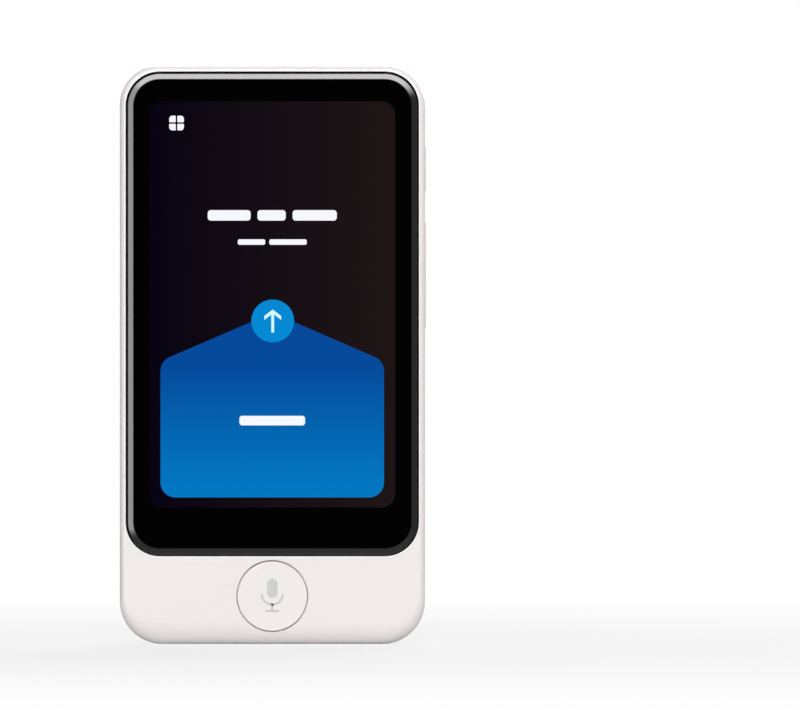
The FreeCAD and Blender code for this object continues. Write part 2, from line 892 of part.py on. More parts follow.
def make_screen():
    rim = size.bezel_rim
    bezel_front = glass_face + size.glass_bevel_depth
    bezel = (-bezel_half, bezel_half, size.bezel_low, bezel_high)
    seat = (-bezel_half + rim, bezel_half - rim, size.bezel_low + rim, bezel_high - rim)
    body = rounded_plate("screen_bezel_body", bezel, (bezel_front, panel_rear), size.bezel_corner)
    rounded_pocket(body, "glass_seat", seat, (glass_face, glass_rear), size.bezel_corner - rim)
    opening = (-screen_half, screen_half, screen_low, screen_high)
    rounded_pocket(body, "bezel_opening", opening, (glass_face, seam), size.screen_open_corner)
    keep("screen_bezel", body)

    glass = rounded_plate("cover_glass_body", seat, (glass_face, glass_rear), size.bezel_corner - rim)
    doc.recompute()
    plate = glass.Tip
    bevel = glass.newObject("PartDesign::Chamfer", "glass_bevel_edge")
    front_edges = [
        f"Edge{index}"
        for index, edge in enumerate(glass.Shape.Edges, start=1)
        if edge.BoundBox.YMax < glass_face.value + size.slip.value
    ]
    bevel.Base = (plate, front_edges)
    bevel.ChamferType = "Two distances"
    bevel.FlipDirection = True
    bind(bevel, "Size", size.glass_bevel)
    bind(bevel, "Size2", size.glass_bevel_depth)
    keep("cover_glass", glass)

    panel = (-panel_half, panel_half, panel_low, panel_high)
    film = rounded_plate("film_body", panel, (glass_rear, film_rear), size.panel_corner)
    band = size.film_band
    window = (panel[0] + band, panel[1] - band, panel[2] + band, panel[3] - band)
    rounded_pocket(film, "film_window", window, (glass_face, seam), size.panel_corner - band)
    keep("glass_adhesive", film)
    keep("lcd_panel", rounded_plate("panel_body", panel, (film_rear, panel_rear), size.panel_corner))
    keep("backlight_unit", rounded_plate("backlight_body", panel, (panel_rear, seam), size.panel_corner))


# Inner frame and the screws that hold it


def make_frame():
    outline = (-frame_half, frame_half, frame_low, frame_high)
    plate = rounded_plate("frame_body", outline, (seam, frame_rear), size.frame_corner)
    reach = (seam, board_front)
    posts = [rod("board_post", "y", spot, size.board_post_radius, reach) for spot in board_posts]
    tools = []
    for spot in frame_posts:
        tools.append(rod("frame_hole", "y", spot, size.screw_shank, (glass_face, back_face)))
        deep = (glass_face, seam + size.screw_head_tall)
        tools.append(rod("frame_seat", "y", spot, size.screw_head, deep))
    for spot in board_posts:
        tools.append(rod("board_hole", "y", spot, size.screw_shank, (glass_face, back_face)))
    keep("mid_frame", without("mid_frame", joined("frame_with_posts", [plate, *posts]), tools))


def screw(name, spot, face, direction):
    """A screw with its head on one side of the face and its shank on the other."""
    tip = face + size.screw_length * direction
    top = face - size.screw_head_tall * direction
    head = sorted((top, face), key=lambda edge: edge.value)
    shank = sorted((face - size.screw_head_tall / 2 * direction, tip), key=lambda edge: edge.value)
    items = [
        rod(f"{name}_head", "y", spot, size.screw_head, head),
        rod(f"{name}_shank", "y", spot, size.screw_shank, shank),
    ]
    return joined(name, items)


def make_screws():
    seat = seam + size.screw_head_tall
    upper = [screw("frame_screw", spot, seat, 1) for spot in frame_posts]
    keep("frame_screws", group("frame_screws", upper))
    lower = [screw("lower_screw", spot, lower_board_front, 1) for spot in lower_posts]
    keep("lower_board_screws", group("lower_board_screws", lower))
    head_deep = (board_rear, board_rear + size.screw_head_tall)
    shank_deep = (seam, board_rear + size.slip)
    items = []
    for spot in board_posts:
        head = rod("board_screw_head", "y", spot, size.screw_head, head_deep)
        shank = rod("board_screw_shank", "y", spot, size.screw_shank, shank_deep)
        items.append(joined("board_screw", [head, shank]))
    keep("main_board_screws", group("main_board_screws", items))


# Talk button, its metal dome and the lower board


def make_talk_button():
    rear = chin_rear + size.slip
    flange_rear = rear + size.talk_flange_thick
    dome_front = lower_board_front - size.talk_travel - size.dome_base_thick
    body = new_body("talk_button_body")
    disc = sketch_at(body, "talk_disc", flange_rear)
    draw_circle(disc, (0, talk_height), talk_radius)
    pad(body, disc, flange_rear - housing_face)
    flange = sketch_at(body, "talk_flange", flange_rear)
    draw_circle(flange, (0, talk_height), talk_radius + size.talk_flange_out)
    pad(body, flange, size.talk_flange_thick)
    stem = sketch_at(body, "talk_stem_outline", dome_front)
    draw_circle(stem, (0, talk_height), size.talk_stem)
    pad(body, stem, dome_front - flange_rear + size.slip)
    keep("talk_button", body)
    spot = (as_measure(0), talk_height)
    base_deep = (lower_board_front - size.dome_base_thick, lower_board_front)
    base = rod("dome_base", "y", spot, size.dome_radius, base_deep)
    crown = rod("dome_crown", "y", spot, size.talk_stem, (dome_front, lower_board_front))
    keep("talk_button_dome", joined("talk_button_dome", [base, crown]))


def make_lower_board():
    outline = (-lower_board_half, lower_board_half, size.lower_board_low, lower_board_high)
    deep = (lower_board_front, lower_board_rear)
    body = rounded_plate("lower_board_body", outline, deep, size.lower_board_corner, size.board_edge)
    holes = sketch_at(body, "lower_board_holes", glass_face)
    for spot in lower_posts:
        draw_circle(holes, spot, size.screw_shank)
    pocket(body, holes, size.unit_depth)
    keep("lower_board", body)


def make_charging_socket():
    centre = (as_measure(0), socket_line)
    half_long = size.socket_wide / 2
    half_wide = size.socket_thick / 2
    skin = size.socket_wall
    mouth = size.socket_setback
    finish = mouth + size.socket_deep
    shell = stadium("socket_shell", "z", centre, half_long, half_wide, (mouth, finish))
    bore = stadium(
        "socket_bore", "z", centre, half_long - skin, half_wide - skin, (mouth - size.past, finish - skin)
    )
    keep("usb_socket", without("usb_socket", shell, [bore]))
    tongue = block(
        "tongue_blade",
        (-size.tongue_wide / 2, size.tongue_wide / 2),
        (socket_line - size.tongue_thick / 2, socket_line + size.tongue_thick / 2),
        (mouth + size.tongue_setback, finish - skin),
    )
    base = stadium(
        "tongue_base",
        "z",
        centre,
        half_long - skin,
        half_wide - skin,
        (finish - skin - size.socket_back, finish - skin),
    )
    keep("usb_tongue", joined("usb_tongue", [tongue, base]))


# Main board with what is soldered to it


def make_main_board():
    outline = (-board_left, board_right, board_low, board_high)
    deep = (board_front, board_rear)
    body = rounded_plate("main_board_body", outline, deep, size.board_edge, size.board_corner)
    tools = [rod("main_hole", "y", spot, size.screw_shank, (glass_face, back_face)) for spot in board_posts]
    for spot in frame_posts[4:]:
        hole_radius = size.post_radius + size.post_hole_play
        tools.append(rod("post_hole", "y", spot, hole_radius, (glass_face, back_face)))
    keep("main_board", without("main_board", body, tools))

    half = size.chip_wide / 2
    low, high = chip_height - half, chip_height + half
    chip_deep = (board_rear, board_rear + size.chip_thick)
    chip = (-size.chip_wide, as_measure(0))
    memory = (size.chip_gap, size.chip_gap + size.memory_wide)
    keep("processor", block("processor", chip, chip_deep, (low, high)))
    memory_tall = (chip_height - size.memory_wide / 2, chip_height + size.memory_wide / 2)
    keep("memory_chip", block("memory_chip", memory, chip_deep, memory_tall))

    margin = size.can_margin
    skin = size.can_thick
    can_rear = board_rear + size.can_tall
    can = block(
        "can_outer",
        (chip[0] - margin, memory[1] + margin),
        (board_rear, can_rear),
        (low - margin, high + margin),
    )
    void = block(
        "can_void",
        (chip[0] - margin + skin, memory[1] + margin - skin),
        (board_rear - size.past, can_rear - skin),
        (low - margin + skin, high + margin - skin),
    )
    keep("shield_can", without("shield_can", can, [void]))
    pad_deep = (can_rear, can_rear + size.pad_thick)
    keep("thermal_pad", block("thermal_pad", (chip[0], memory[1]), pad_deep, (low, high)))


# Card tray, card, reader and ejector


def make_card_parts():
    play = size.tray_play
    head_half = tray_half + size.tray_head_margin
    head = block(
        "tray_head",
        (-half_width, -half_width + size.tray_head_thick),
        (tray_front - size.tray_head_margin, tray_rear + size.tray_head_margin),
        (tray_height - head_half, eject_line + size.eject_radius * 2),
    )
    blade = block(
        "tray_blade",
        (-half_width, tray_end),
        (tray_front, tray_rear),
        (tray_height - tray_half, tray_height + tray_half),
    )
    card_start = tray_end - size.tray_rim - size.card_long
    card_across = (card_start, card_start + size.card_long)
    card_tall = (tray_height - size.card_wide / 2, tray_height + size.card_wide / 2)
    card_deep = (tray_rear - size.card_thick, tray_rear)
    seat = block("card_seat", card_across, (card_deep[0], tray_rear + size.past), card_tall)
    rim = size.tray_rim
    window = block(
        "card_window",
        (card_across[0] + rim, card_across[1] - rim),
        (tray_front - size.past, tray_rear),
        (card_tall[0] + rim, card_tall[1] - rim),
    )
    across = (-half_width - size.past, -half_width + size.tray_head_thick + size.past)
    pin_hole = rod("tray_pin_hole", "x", (eject_depth, eject_line), size.eject_radius, across)
    keep("sim_tray", without("sim_tray", joined("tray_solid", [head, blade]), [seat, window, pin_hole]))
    keep("sim_card", block("sim_card", card_across, card_deep, card_tall))

    skin = size.reader_wall
    lever_start = tray_end + size.lever_gap
    reader_start = -inner_side + size.reader_gap
    reader_across = (reader_start, lever_start - play)
    outer = block(
        "reader_outer",
        reader_across,
        (board_rear, tray_rear + play + skin),
        (tray_height - tray_half - play - skin, tray_height + tray_half + play + skin),
    )
    channel = block(
        "reader_channel",
        (reader_start - size.past, lever_start),
        (tray_front - play, tray_rear + play),
        (tray_height - tray_half - play, tray_height + tray_half + play),
    )
    spot = (eject_depth, eject_line)
    rod_end = lever_start - size.slip
    rod_start = rod_end - size.eject_long
    lug_end = rod_end - size.lug_setback
    lug = block(
        "eject_lug",
        (lug_end - size.lug_long, lug_end),
        (board_rear, eject_depth + size.eject_radius + size.lug_wall),
        (tray_height + tray_half + play, eject_line + size.eject_radius + size.lug_wall),
    )
    bore = rod("eject_bore", "x", spot, size.eject_radius + size.slip, (reader_start, lever_start))
    reader = joined("reader_solid", [without("reader_shell", outer, [channel]), lug])
    keep("sim_reader", without("sim_reader", reader, [bore]))

    keep("eject_rod", rod("eject_rod", "x", spot, size.eject_radius, (rod_start, rod_end)))
    pivot = (lever_start + size.lever_half, eject_line - size.lever_arm)
    bar = block(
        "lever_bar",
        (lever_start, lever_start + size.lever_half * 2),
        (eject_depth - size.lever_thick / 2, eject_depth + size.lever_thick / 2),
        (pivot[1] - size.lever_reach, eject_line + size.lever_half),
    )
    hole = rod("lever_hole", "y", pivot, size.pivot_radius + size.pivot_play, (glass_face, back_face))
    keep("eject_lever", without("eject_lever", bar, [hole]))
    pin_deep = (board_rear, eject_depth + size.lever_thick)
    keep("lever_pivot_pin", rod("lever_pivot_pin", "y", pivot, size.pivot_radius, pin_deep))


# Camera, flash and their windows


def make_camera():
    spot = camera_spot
    half = size.camera_block / 2
    block_rear = board_rear + size.camera_block_tall
    barrel_rear = hollow_rear - size.barrel_front_gap
    base = block(
        "camera_block",
        (spot[0] - half, spot[0] + half),
        (board_rear, block_rear),
        (spot[1] - half, spot[1] + half),
    )
    barrel = rod("camera_barrel", "y", spot, size.barrel_radius, (board_rear, barrel_rear))
    lens_front = block_rear - size.lens_rise
    bore_deep = (lens_front - size.lens_room, barrel_rear + size.past)
    bore = rod("camera_bore", "y", spot, size.barrel_bore, bore_deep)
    keep("camera_module", without("camera_module", joined("camera_solid", [base, barrel]), [bore]))
    lens_deep = (lens_front, lens_front + size.lens_thick)
    keep("autofocus_lens", rod("autofocus_lens", "y", spot, size.lens_radius, lens_deep))
    ring = rod("gasket_outer", "y", spot, size.barrel_radius, (barrel_rear, hollow_rear))
    hole = rod("gasket_hole", "y", spot, size.gasket_inner, (barrel_rear - size.past, back_face))
    keep("camera_gasket", without("camera_gasket", ring, [hole]))
    window_deep = (back_face - size.window_thick, back_face)
    keep("camera_window", rod("camera_window", "y", spot, size.window_radius, window_deep))

    flash = flash_spot
    chip_half = size.flash_chip / 2
    chip_rear = board_rear + size.flash_chip_thick
    keep(
        "flash_led",
        block(
            "flash_led",
            (flash[0] - chip_half, flash[0] + chip_half),
            (board_rear, chip_rear),
            (flash[1] - chip_half, flash[1] + chip_half),
        ),
    )
    stem = rod("flash_stem_rod", "y", flash, size.flash_stem, (chip_rear + size.flash_gap, back_face))
    head = rod("flash_head_disc", "y", flash, size.flash_radius, (back_face - size.flash_head, back_face))
    keep("flash_lens", joined("flash_lens", [stem, head]))


# Battery with its adhesive, plug and lead


def make_battery():
    half = battery_half
    front = frame_rear + size.tape_thick
    rear = front + size.battery_thick
    outline = (-half, half, battery_low, battery_high)
    pack = rounded_plate("battery_body", outline, (front, rear), size.battery_round)
    doc.recompute()
    edges = [
        f"Edge{index}"
        for index, edge in enumerate(pack.Shape.Edges, start=1)
        if edge.BoundBox.YMin > rear.value - size.slip.value
    ]
    plate = pack.Tip
    rounding = pack.newObject("PartDesign::Fillet", "battery_edge")
    rounding.Base = (plate, edges)
    bind(rounding, "Radius", size.battery_edge)
    keep("battery_pack", pack)
    margin = size.tape_margin
    tape_tall = (battery_low + margin, battery_high - margin)
    tape = block("battery_adhesive", (-half + margin, half - margin), (frame_rear, front), tape_tall)
    keep("battery_adhesive", tape)

    left = -half + size.lead_inset
    plug_across = (left - size.plug_margin, left + size.lead_wide + size.plug_margin)
    plug_rear = board_rear + size.plug_tall
    plug_tall = (board_low + size.plug_edge, board_low + size.lead_land)
    keep("battery_connector", block("battery_connector", plug_across, (board_rear, plug_rear), plug_tall))
    lead_deep = (plug_rear, plug_rear + size.lead_thick)
    lead_tall = (battery_high, plug_tall[1])
    keep("battery_lead", block("battery_lead", (left, left + size.lead_wide), lead_deep, lead_tall))


# Side keys, the switches behind them and their bracket


def side_key(label, span, nub_offsets, ribs=()):
    """A key with round ends, a flange inside the wall and a nub for each switch."""
    centre = (key_line, (span[0] + span[1]) / 2)
    half_long = (span[1] - span[0]) / 2
    half_wide = size.key_wide / 2
    face = half_width + size.key_proud
    flange_outer = inner_side - size.key_flange_gap
    flange_inner = flange_outer - size.key_flange_thick
    out = size.key_flange_out
    bar = stadium(f"{label}_bar", "x", centre, half_long, half_wide, (flange_inner, face))
    flange = stadium(
        f"{label}_flange", "x", centre, half_long + out, half_wide + out, (flange_inner, flange_outer)
    )
    half_nub = size.key_nub_wide / 2
    nubs = []
    for offset in nub_offsets:
        height = centre[1] + offset
        nubs.append(
            block(
                f"{label}_nub",
                (flange_inner - size.key_nub, flange_inner),
                (key_line - half_nub, key_line + half_nub),
                (height - half_nub, height + half_nub),
            )
        )
    solid = joined(f"{label}_solid", [bar, flange, *nubs, *ribs])
    keep(label, round_face_edges(label, solid, "X", face, size.key_round))


def make_side_keys():
    side_key("power_button", power_span, [as_measure(0)])
    half_wide = size.key_wide / 2
    deep = (key_line - half_wide, key_line + half_wide)
    flange_middle = inner_side - size.key_flange_gap - size.key_flange_thick / 2
    rib = rod("rocker_rib", "y", (flange_middle, volume_height), size.rocker_rib, deep)
    side_key("volume_rocker", volume_span, [-size.volume_nub_out, size.volume_nub_out], [rib])
    nub_tip = inner_side - size.key_flange_gap - size.key_flange_thick - size.key_nub
    switch_face = nub_tip - size.switch_gap
    switch_back = switch_face - size.switch_tall
    strip_back = switch_back - size.key_strip_thick
    bracket_back = strip_back - size.bracket_thick
    tall = (volume_span[0] - size.bracket_margin, power_span[1] + size.bracket_margin)
    plate = block("bracket_plate", (bracket_back, strip_back), (frame_rear, deep[1]), tall)
    half_post = size.rib_post / 2
    post_tip = flange_middle - size.rocker_rib - size.slip
    post_tall = (volume_height - half_post, volume_height + half_post)
    post_deep = (key_line - half_post, key_line + half_post)
    post = block("rib_post", (bracket_back, post_tip), post_deep, post_tall)
    keep("side_key_bracket", joined("side_key_bracket", [plate, post]))
    hole_half = half_post + size.slip
    hole = block(
        "rib_post_hole",
        (bracket_back, switch_face),
        (key_line - hole_half, key_line + hole_half),
        (volume_height - hole_half, volume_height + hole_half),
    )
    strip = block("key_strip", (strip_back, switch_back), deep, tall)
    keep("side_key_flex", without("side_key_flex", strip, [hole]))
    half_switch = size.switch_long / 2
    volume_low = volume_height - size.volume_nub_out
    volume_high = volume_height + size.volume_nub_out
    switches = []
    for height in (volume_low, volume_high, power_height):
        tall = (height - half_switch, height + half_switch)
        switches.append(block("side_switch", (switch_back, switch_face), deep, tall))
    keep("side_switches", group("side_switches", switches))


# Speakers, microphones and vibration motor


def make_speakers():
    front = frame_rear + size.speaker_front_gap
    rear = front + size.speaker_deep
    skin = size.speaker_wall
    cones = []
    for label, side in (("speaker_left", -1), ("speaker_right", 1)):
        outer = inner_side * side
        inner = (inner_side - size.speaker_wide) * side
        across = sorted((outer, inner), key=lambda edge: edge.value)
        case = block(f"{label}_case", across, (front, rear), (size.speaker_low, size.speaker_high))
        mouth = sorted((outer + side, (inner_side - size.cone_setback) * side), key=lambda edge: edge.value)
        chamber = block(
            f"{label}_chamber",
            mouth,
            (front + skin, rear - skin),
            (size.speaker_low + skin, size.speaker_high - skin),
        )
        keep(label, without(label, case, [chamber]))
        face = (inner_side - size.cone_setback) * side
        cone = sorted((face, face + size.cone_thick * side), key=lambda edge: edge.value)
        cone_deep = (front + skin, rear - skin)
        cones.append(
            block("speaker_cone", cone, cone_deep, (size.speaker_low + skin, size.speaker_high - skin))
        )
    keep("speaker_cones", group("speaker_cones", cones))


def make_microphones():
    half = size.mic_wide / 2
    low_across = (low_mic_spot[0] - half, low_mic_spot[0] + half)
    low_start = size.lower_board_low + size.boot_extra
    low_deep = (lower_board_rear, lower_board_rear + size.mic_thick)
    low_tall = (low_start, low_start + size.mic_long)
    keep("bottom_microphone", block("bottom_microphone", low_across, low_deep, low_tall))
    top_across = (top_mic_spot[0] - half, top_mic_spot[0] + half)
    top_finish = board_high - size.boot_extra
    top_deep = (board_rear, board_rear + size.mic_thick)
    top_tall = (top_finish - size.mic_long, top_finish)
    keep("top_microphone", block("top_microphone", top_across, top_deep, top_tall))
    low_boot = block("low_boot", low_across, low_deep, (size.wall, low_start))
    low_reach = (as_measure(0), low_start + size.slip)
    low_bore = rod("low_boot_bore", "z", low_mic_spot, size.mic_hole, low_reach)
    top_boot = block("top_boot", top_across, top_deep, (top_finish, inner_top))
    top_reach = (top_finish - size.slip, size.unit_height)
    top_bore = rod("top_boot_bore", "z", top_mic_spot, size.mic_hole, top_reach)
    boots = [without("low_boot_cut", low_boot, [low_bore]), without("top_boot_cut", top_boot, [top_bore])]
    keep("microphone_boots", group("microphone_boots", boots))


def make_motor():
    spot = (-lower_post_side + size.motor_inset, size.motor_height)
    front = lower_board_rear
    rear = front + size.motor_deep
    skin = size.motor_wall
    can = rod("motor_outer", "y", spot, size.motor_radius, (front, rear))
    void = rod("motor_void", "y", spot, size.motor_radius - skin, (front + skin, rear - skin))
    keep("motor_can", without("motor_can", can, [void]))
    keep("motor_shaft", rod("motor_shaft", "y", spot, size.shaft_radius, (front + skin, rear - skin)))
    middle = (front + rear) / 2
    deep = (middle - size.rotor_thick / 2, middle + size.rotor_thick / 2)
    disc = rod("rotor_disc", "y", spot, size.rotor_radius, deep)
    reach = size.rotor_radius + size.past
    upper = block("rotor_upper", (spot[0] - reach, spot[0] + reach), deep, (spot[1], spot[1] + reach))
    hub = rod("rotor_hub_disc", "y", spot, size.rotor_hub, deep)
    bore = rod("rotor_bore", "y", spot, size.shaft_radius + size.shaft_play, (front, rear))
    weight = joined("rotor_solid", [without("rotor_weight", disc, [upper]), hub])
    keep("motor_rotor", without("motor_rotor", weight, [bore]))


# Flexible strips between the parts


def make_strips():
    left = size.screen_strip_left
    across = (left, left + size.screen_strip_wide)
    thick = size.strip_thick
    front = film_rear + size.panel_thick / 2
    bend = panel_low - size.screen_strip_drop
    plug_low = lower_board_high - size.screen_plug_drop
    plug_front = lower_board_front - size.screen_strip_back
    items = [
        block("strip_tab", across, (front, front + thick), (bend, panel_low)),
        block("strip_step", across, (front, plug_front), (bend, bend + thick)),
        block("strip_tail", across, (plug_front - thick, plug_front), (plug_low, bend + thick)),
    ]
    keep("display_flex", joined("display_flex", items))
    plug_tall = (plug_low, plug_low + size.screen_plug_tall)
    plug_deep = (plug_front, lower_board_front)
    keep("display_connector", block("display_connector", across, plug_deep, plug_tall))

    link_left = -half_width + size.link_edge
    link_low = lower_board_high - size.link_drop
    across = (link_left, link_left + size.link_wide)
    deep = (board_front - thick, board_front)
    finish = board_low + size.link_land
    keep("board_link_flex", block("board_link_flex", across, deep, (link_low, finish)))
    plug_tall = (link_low, link_low + size.link_land)
    keep("link_connector", block("link_connector", across, (lower_board_rear, deep[0]), plug_tall))

    right = size.antenna_right
    across = (right - size.antenna_wide, right)
    deep = (hollow_rear - thick, hollow_rear)
    tall = (size.unit_height - size.antenna_drop, size.unit_height - size.antenna_top)
    keep("antenna_flex", block("antenna_flex", across, deep, tall))


def check_and_write():
    doc.recompute()
    faults = [item.Name for item in doc.Objects if "Invalid" in item.State or "Error" in item.State]
    if faults:
        raise RuntimeError(f"failed objects: {faults}")
    os.makedirs("parts", exist_ok=True)
    for label, item in pieces.items():
        shape = item.Shape
        if shape.isNull() or not shape.isValid():
            raise RuntimeError(f"{label} has no valid shape")
        shape.exportStep(f"parts/{label}.step")
        box = shape.BoundBox
        spans = [(box.XMin, box.XMax), (box.YMin, box.YMax), (box.ZMin, box.ZMax)]
        reach = "  ".join(f"{axis} {low:.2f} {high:.2f}" for axis, (low, high) in zip("XYZ", spans))
        print(f"{label:20s} solids {len(shape.Solids)} volume {shape.Volume:9.2f}  {reach}")


make_front_housing()
make_rear_cover()
make_screen()
make_frame()
make_screws()
make_talk_button()
make_lower_board()
make_charging_socket()
make_main_board()
make_card_parts()
make_camera()
make_battery()
make_side_keys()
make_speakers()
make_microphones()
make_motor()
make_strips()
check_and_write()
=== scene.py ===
# %% [markdown]
# A handheld translator, dressed for its portrait
#
# The unit is a slim white shell with a tall screen set in a glossy black frame. Its hard parts
# arrive as finished solids, so this lesson is about surfaces: satin plastic, black glass, the lit
# picture on the screen, a camera eye and the small metal contacts in the charging socket.
# Everything is in metres, and the unit stands on the floor with its screen towards -Y.

# %% Load the unit's solids
import math

import bmesh
import bpy
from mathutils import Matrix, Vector


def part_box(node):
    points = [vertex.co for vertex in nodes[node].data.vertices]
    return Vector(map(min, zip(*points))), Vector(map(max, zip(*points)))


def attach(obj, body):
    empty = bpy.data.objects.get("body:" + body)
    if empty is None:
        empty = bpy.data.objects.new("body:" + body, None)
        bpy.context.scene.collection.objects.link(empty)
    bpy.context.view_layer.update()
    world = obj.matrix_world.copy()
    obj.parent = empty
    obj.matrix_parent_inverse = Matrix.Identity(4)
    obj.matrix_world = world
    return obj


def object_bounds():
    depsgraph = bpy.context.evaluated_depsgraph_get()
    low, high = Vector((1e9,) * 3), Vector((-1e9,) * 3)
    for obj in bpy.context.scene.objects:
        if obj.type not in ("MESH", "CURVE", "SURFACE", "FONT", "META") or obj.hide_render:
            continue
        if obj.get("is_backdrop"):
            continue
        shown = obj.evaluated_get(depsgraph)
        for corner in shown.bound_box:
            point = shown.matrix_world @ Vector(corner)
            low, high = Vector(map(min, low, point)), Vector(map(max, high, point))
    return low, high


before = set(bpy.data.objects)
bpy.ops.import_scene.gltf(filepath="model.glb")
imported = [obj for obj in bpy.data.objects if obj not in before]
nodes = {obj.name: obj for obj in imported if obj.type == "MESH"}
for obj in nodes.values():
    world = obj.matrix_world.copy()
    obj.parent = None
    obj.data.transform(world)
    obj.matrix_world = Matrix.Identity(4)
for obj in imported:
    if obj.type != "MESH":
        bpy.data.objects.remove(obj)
cad_low, cad_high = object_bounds()
MM = 0.001
print("solids:", len(nodes), "height in mm:", round((cad_high.z - cad_low.z) / MM, 2))

# %% [markdown]
# Shader sums as plain Python
#
# A material is a small program made of nodes. Wiring every Math node by hand hides the idea, so
# one class wraps a socket and lets us write mask * 0.5 + 1. Each sign adds its Math node for us.

# %% A wire that can be added and multiplied
class Wire:
    """One output of a shader node; a sum or product of wires adds a Math node."""

    def __init__(self, finish, socket):
        self.finish = finish
        self.socket = socket

    def maths(self, operation, *others):
        inputs = dict(enumerate((self, *others)))
        return self.finish.node("ShaderNodeMath", {"operation": operation}, inputs)

    def __add__(self, other):
        return self.maths("ADD", other)

    __radd__ = __add__

    def __sub__(self, other):
        return self.maths("SUBTRACT", other)

    def __rsub__(self, other):
        return self.finish.node("ShaderNodeMath", {"operation": "SUBTRACT"}, {0: other, 1: self})

    def __mul__(self, other):
        return self.maths("MULTIPLY", other)

    __rmul__ = __mul__

    def __truediv__(self, other):
        return self.maths("DIVIDE", other)

    def root(self):
        return self.maths("SQRT")

    def sine(self):
        return self.maths("SINE")

    def most(self, other):
        return self.maths("MAXIMUM", other)

    def clipped(self):
        return self.finish.node("ShaderNodeClamp", {}, {"Value": self})

    def step(self, start, end):
        """0 before start and 1 after end, with a smooth change between them."""
        settings = {"interpolation_type": "SMOOTHSTEP"}
        inputs = {"Value": self, "From Min": start, "From Max": end}
        return self.finish.node("ShaderNodeMapRange", settings, inputs)


# %% [markdown]
# One method for every other node
#
# Noise, ramps, bumps and shaders all go through one method: its type, its settings, and what goes
# into its sockets, either a value or another wire.

# %% A finish: a material and the tree that makes it
BEVEL_SAMPLES = 6


class Finish:
    """A material, or the world, whose nodes are added by one method."""

    def __init__(self, owner):
        self.owner = owner
        owner.use_nodes = True
        self.tree = owner.node_tree
        self.tree.nodes.clear()

    def node(self, kind, settings, inputs, output=0):
        node = self.tree.nodes.new(kind)
        for name, value in settings.items():
            if name == "stops":
                self.set_stops(node.color_ramp, value)
            else:
                setattr(node, name, value)
        for key, value in inputs.items():
            if isinstance(value, Wire):
                self.tree.links.new(value.socket, node.inputs[key])
            else:
                node.inputs[key].default_value = value
        return Wire(self, node.outputs[output])

    @staticmethod
    def set_stops(ramp, stops):
        while len(ramp.elements) < len(stops):
            ramp.elements.new(0.5)
        for element, (place, colour) in zip(ramp.elements, stops):
            element.position = place
            element.color = colour

    def place(self, kind="Object"):
        return self.node("ShaderNodeTexCoord", {}, {}, output=kind)

    def axes(self, kind="Object"):
        """X, Y and Z of the object's own coordinates, in metres, or of a direction in the world."""
        parts = self.tree.nodes.new("ShaderNodeSeparateXYZ")
        self.tree.links.new(self.place(kind).socket, parts.inputs[0])
        return [Wire(self, output) for output in parts.outputs]

    def ray(self, kind):
        """1 for rays of one kind, such as those that come straight from the camera."""
        return self.node("ShaderNodeLightPath", {}, {}, output=f"Is {kind} Ray")

    def noise(self, scale, detail):
        inputs = {"Vector": self.place(), "Scale": scale, "Detail": detail}
        return self.node("ShaderNodeTexNoise", {}, inputs)

    def blend(self, share, first, second):
        """A colour between two others."""
        node = self.tree.nodes.new("ShaderNodeMix")
        node.data_type = "RGBA"
        for socket, value in zip((node.inputs[0], node.inputs[6], node.inputs[7]), (share, first, second)):
            if isinstance(value, Wire):
                self.tree.links.new(value.socket, socket)
            else:
                socket.default_value = value
        return Wire(self, node.outputs[2])

    def soft_edges(self, radius):
        return self.node("ShaderNodeBevel", {"samples": BEVEL_SAMPLES}, {"Radius": radius})

    def bump(self, height, distance, strength, normal=None):
        inputs = {"Height": height, "Distance": distance, "Strength": strength}
        if normal is not None:
            inputs["Normal"] = normal
        return self.node("ShaderNodeBump", {}, inputs)

    def surface(self, inputs):
        self.end(self.node("ShaderNodeBsdfPrincipled", {}, inputs, output="BSDF"))
        return self.owner

    def end(self, shader, kind="ShaderNodeOutputMaterial"):
        output = self.tree.nodes.new(kind)
        self.tree.links.new(shader.socket, output.inputs["Surface"])


def new_finish(name):
    return Finish(bpy.data.materials.new(name))


def linear(red, green, blue):
    """A colour as it is read off a picture, 0 to 255, turned into linear light."""
    channels = []
    for value in (red, green, blue):
        share = value / 255
        channels.append(share / 12.92 if share <= 0.04045 else ((share + 0.055) / 1.055) ** 2.4)
    return (*channels, 1.0)


def darker(tint, share):
    return tuple(channel * share for channel in tint[:3]) + (1.0,)


print("mid grey in linear light:", round(linear(128, 128, 128)[0], 3))

# %% [markdown]
# Satin white plastic
#
# The shell is moulded in a warm white and has a fine, nearly smooth skin. Three things keep it
# from looking like chalk: a slight sheen that spreads the lamps, a very fine grain, and edges
# that are never quite sharp. The edges come from a Bevel node, which rounds what the light sees
# and leaves the solid as it is.

# %% White plastic for the shell, the keys and the tray
EDGE_ROUND = 0.16 * MM
CLOUD_SCALE = 60.0
CLOUD_SHADE = 0.985
SKIN_SCALE = 9000.0
SKIN_DEPTH = 0.006 * MM
SATIN = 0.36


def make_shell_plastic(name, tint, edge=EDGE_ROUND):
    finish = new_finish(name)
    cloud = finish.noise(CLOUD_SCALE, 2.0)
    grain = finish.noise(SKIN_SCALE, 2.0)
    inputs = {
        "Base Color": finish.blend(cloud.step(0.35, 0.65), darker(tint, CLOUD_SHADE), tint),
        "Roughness": SATIN + cloud * 0.06,
        "Normal": finish.bump(grain, SKIN_DEPTH, 0.5, finish.soft_edges(edge)),
        "IOR": 1.47,
        "Coat Weight": 0.12,
        "Coat Roughness": 0.18,
    }
    return finish.surface(inputs)


front_white = make_shell_plastic("front_white", linear(243, 238, 237))
back_white = make_shell_plastic("back_white", linear(243, 241, 237))
button_white = make_shell_plastic("button_white", linear(244, 239, 238), 0.1 * MM)
print("shell finishes:", front_white.name, back_white.name, button_white.name)

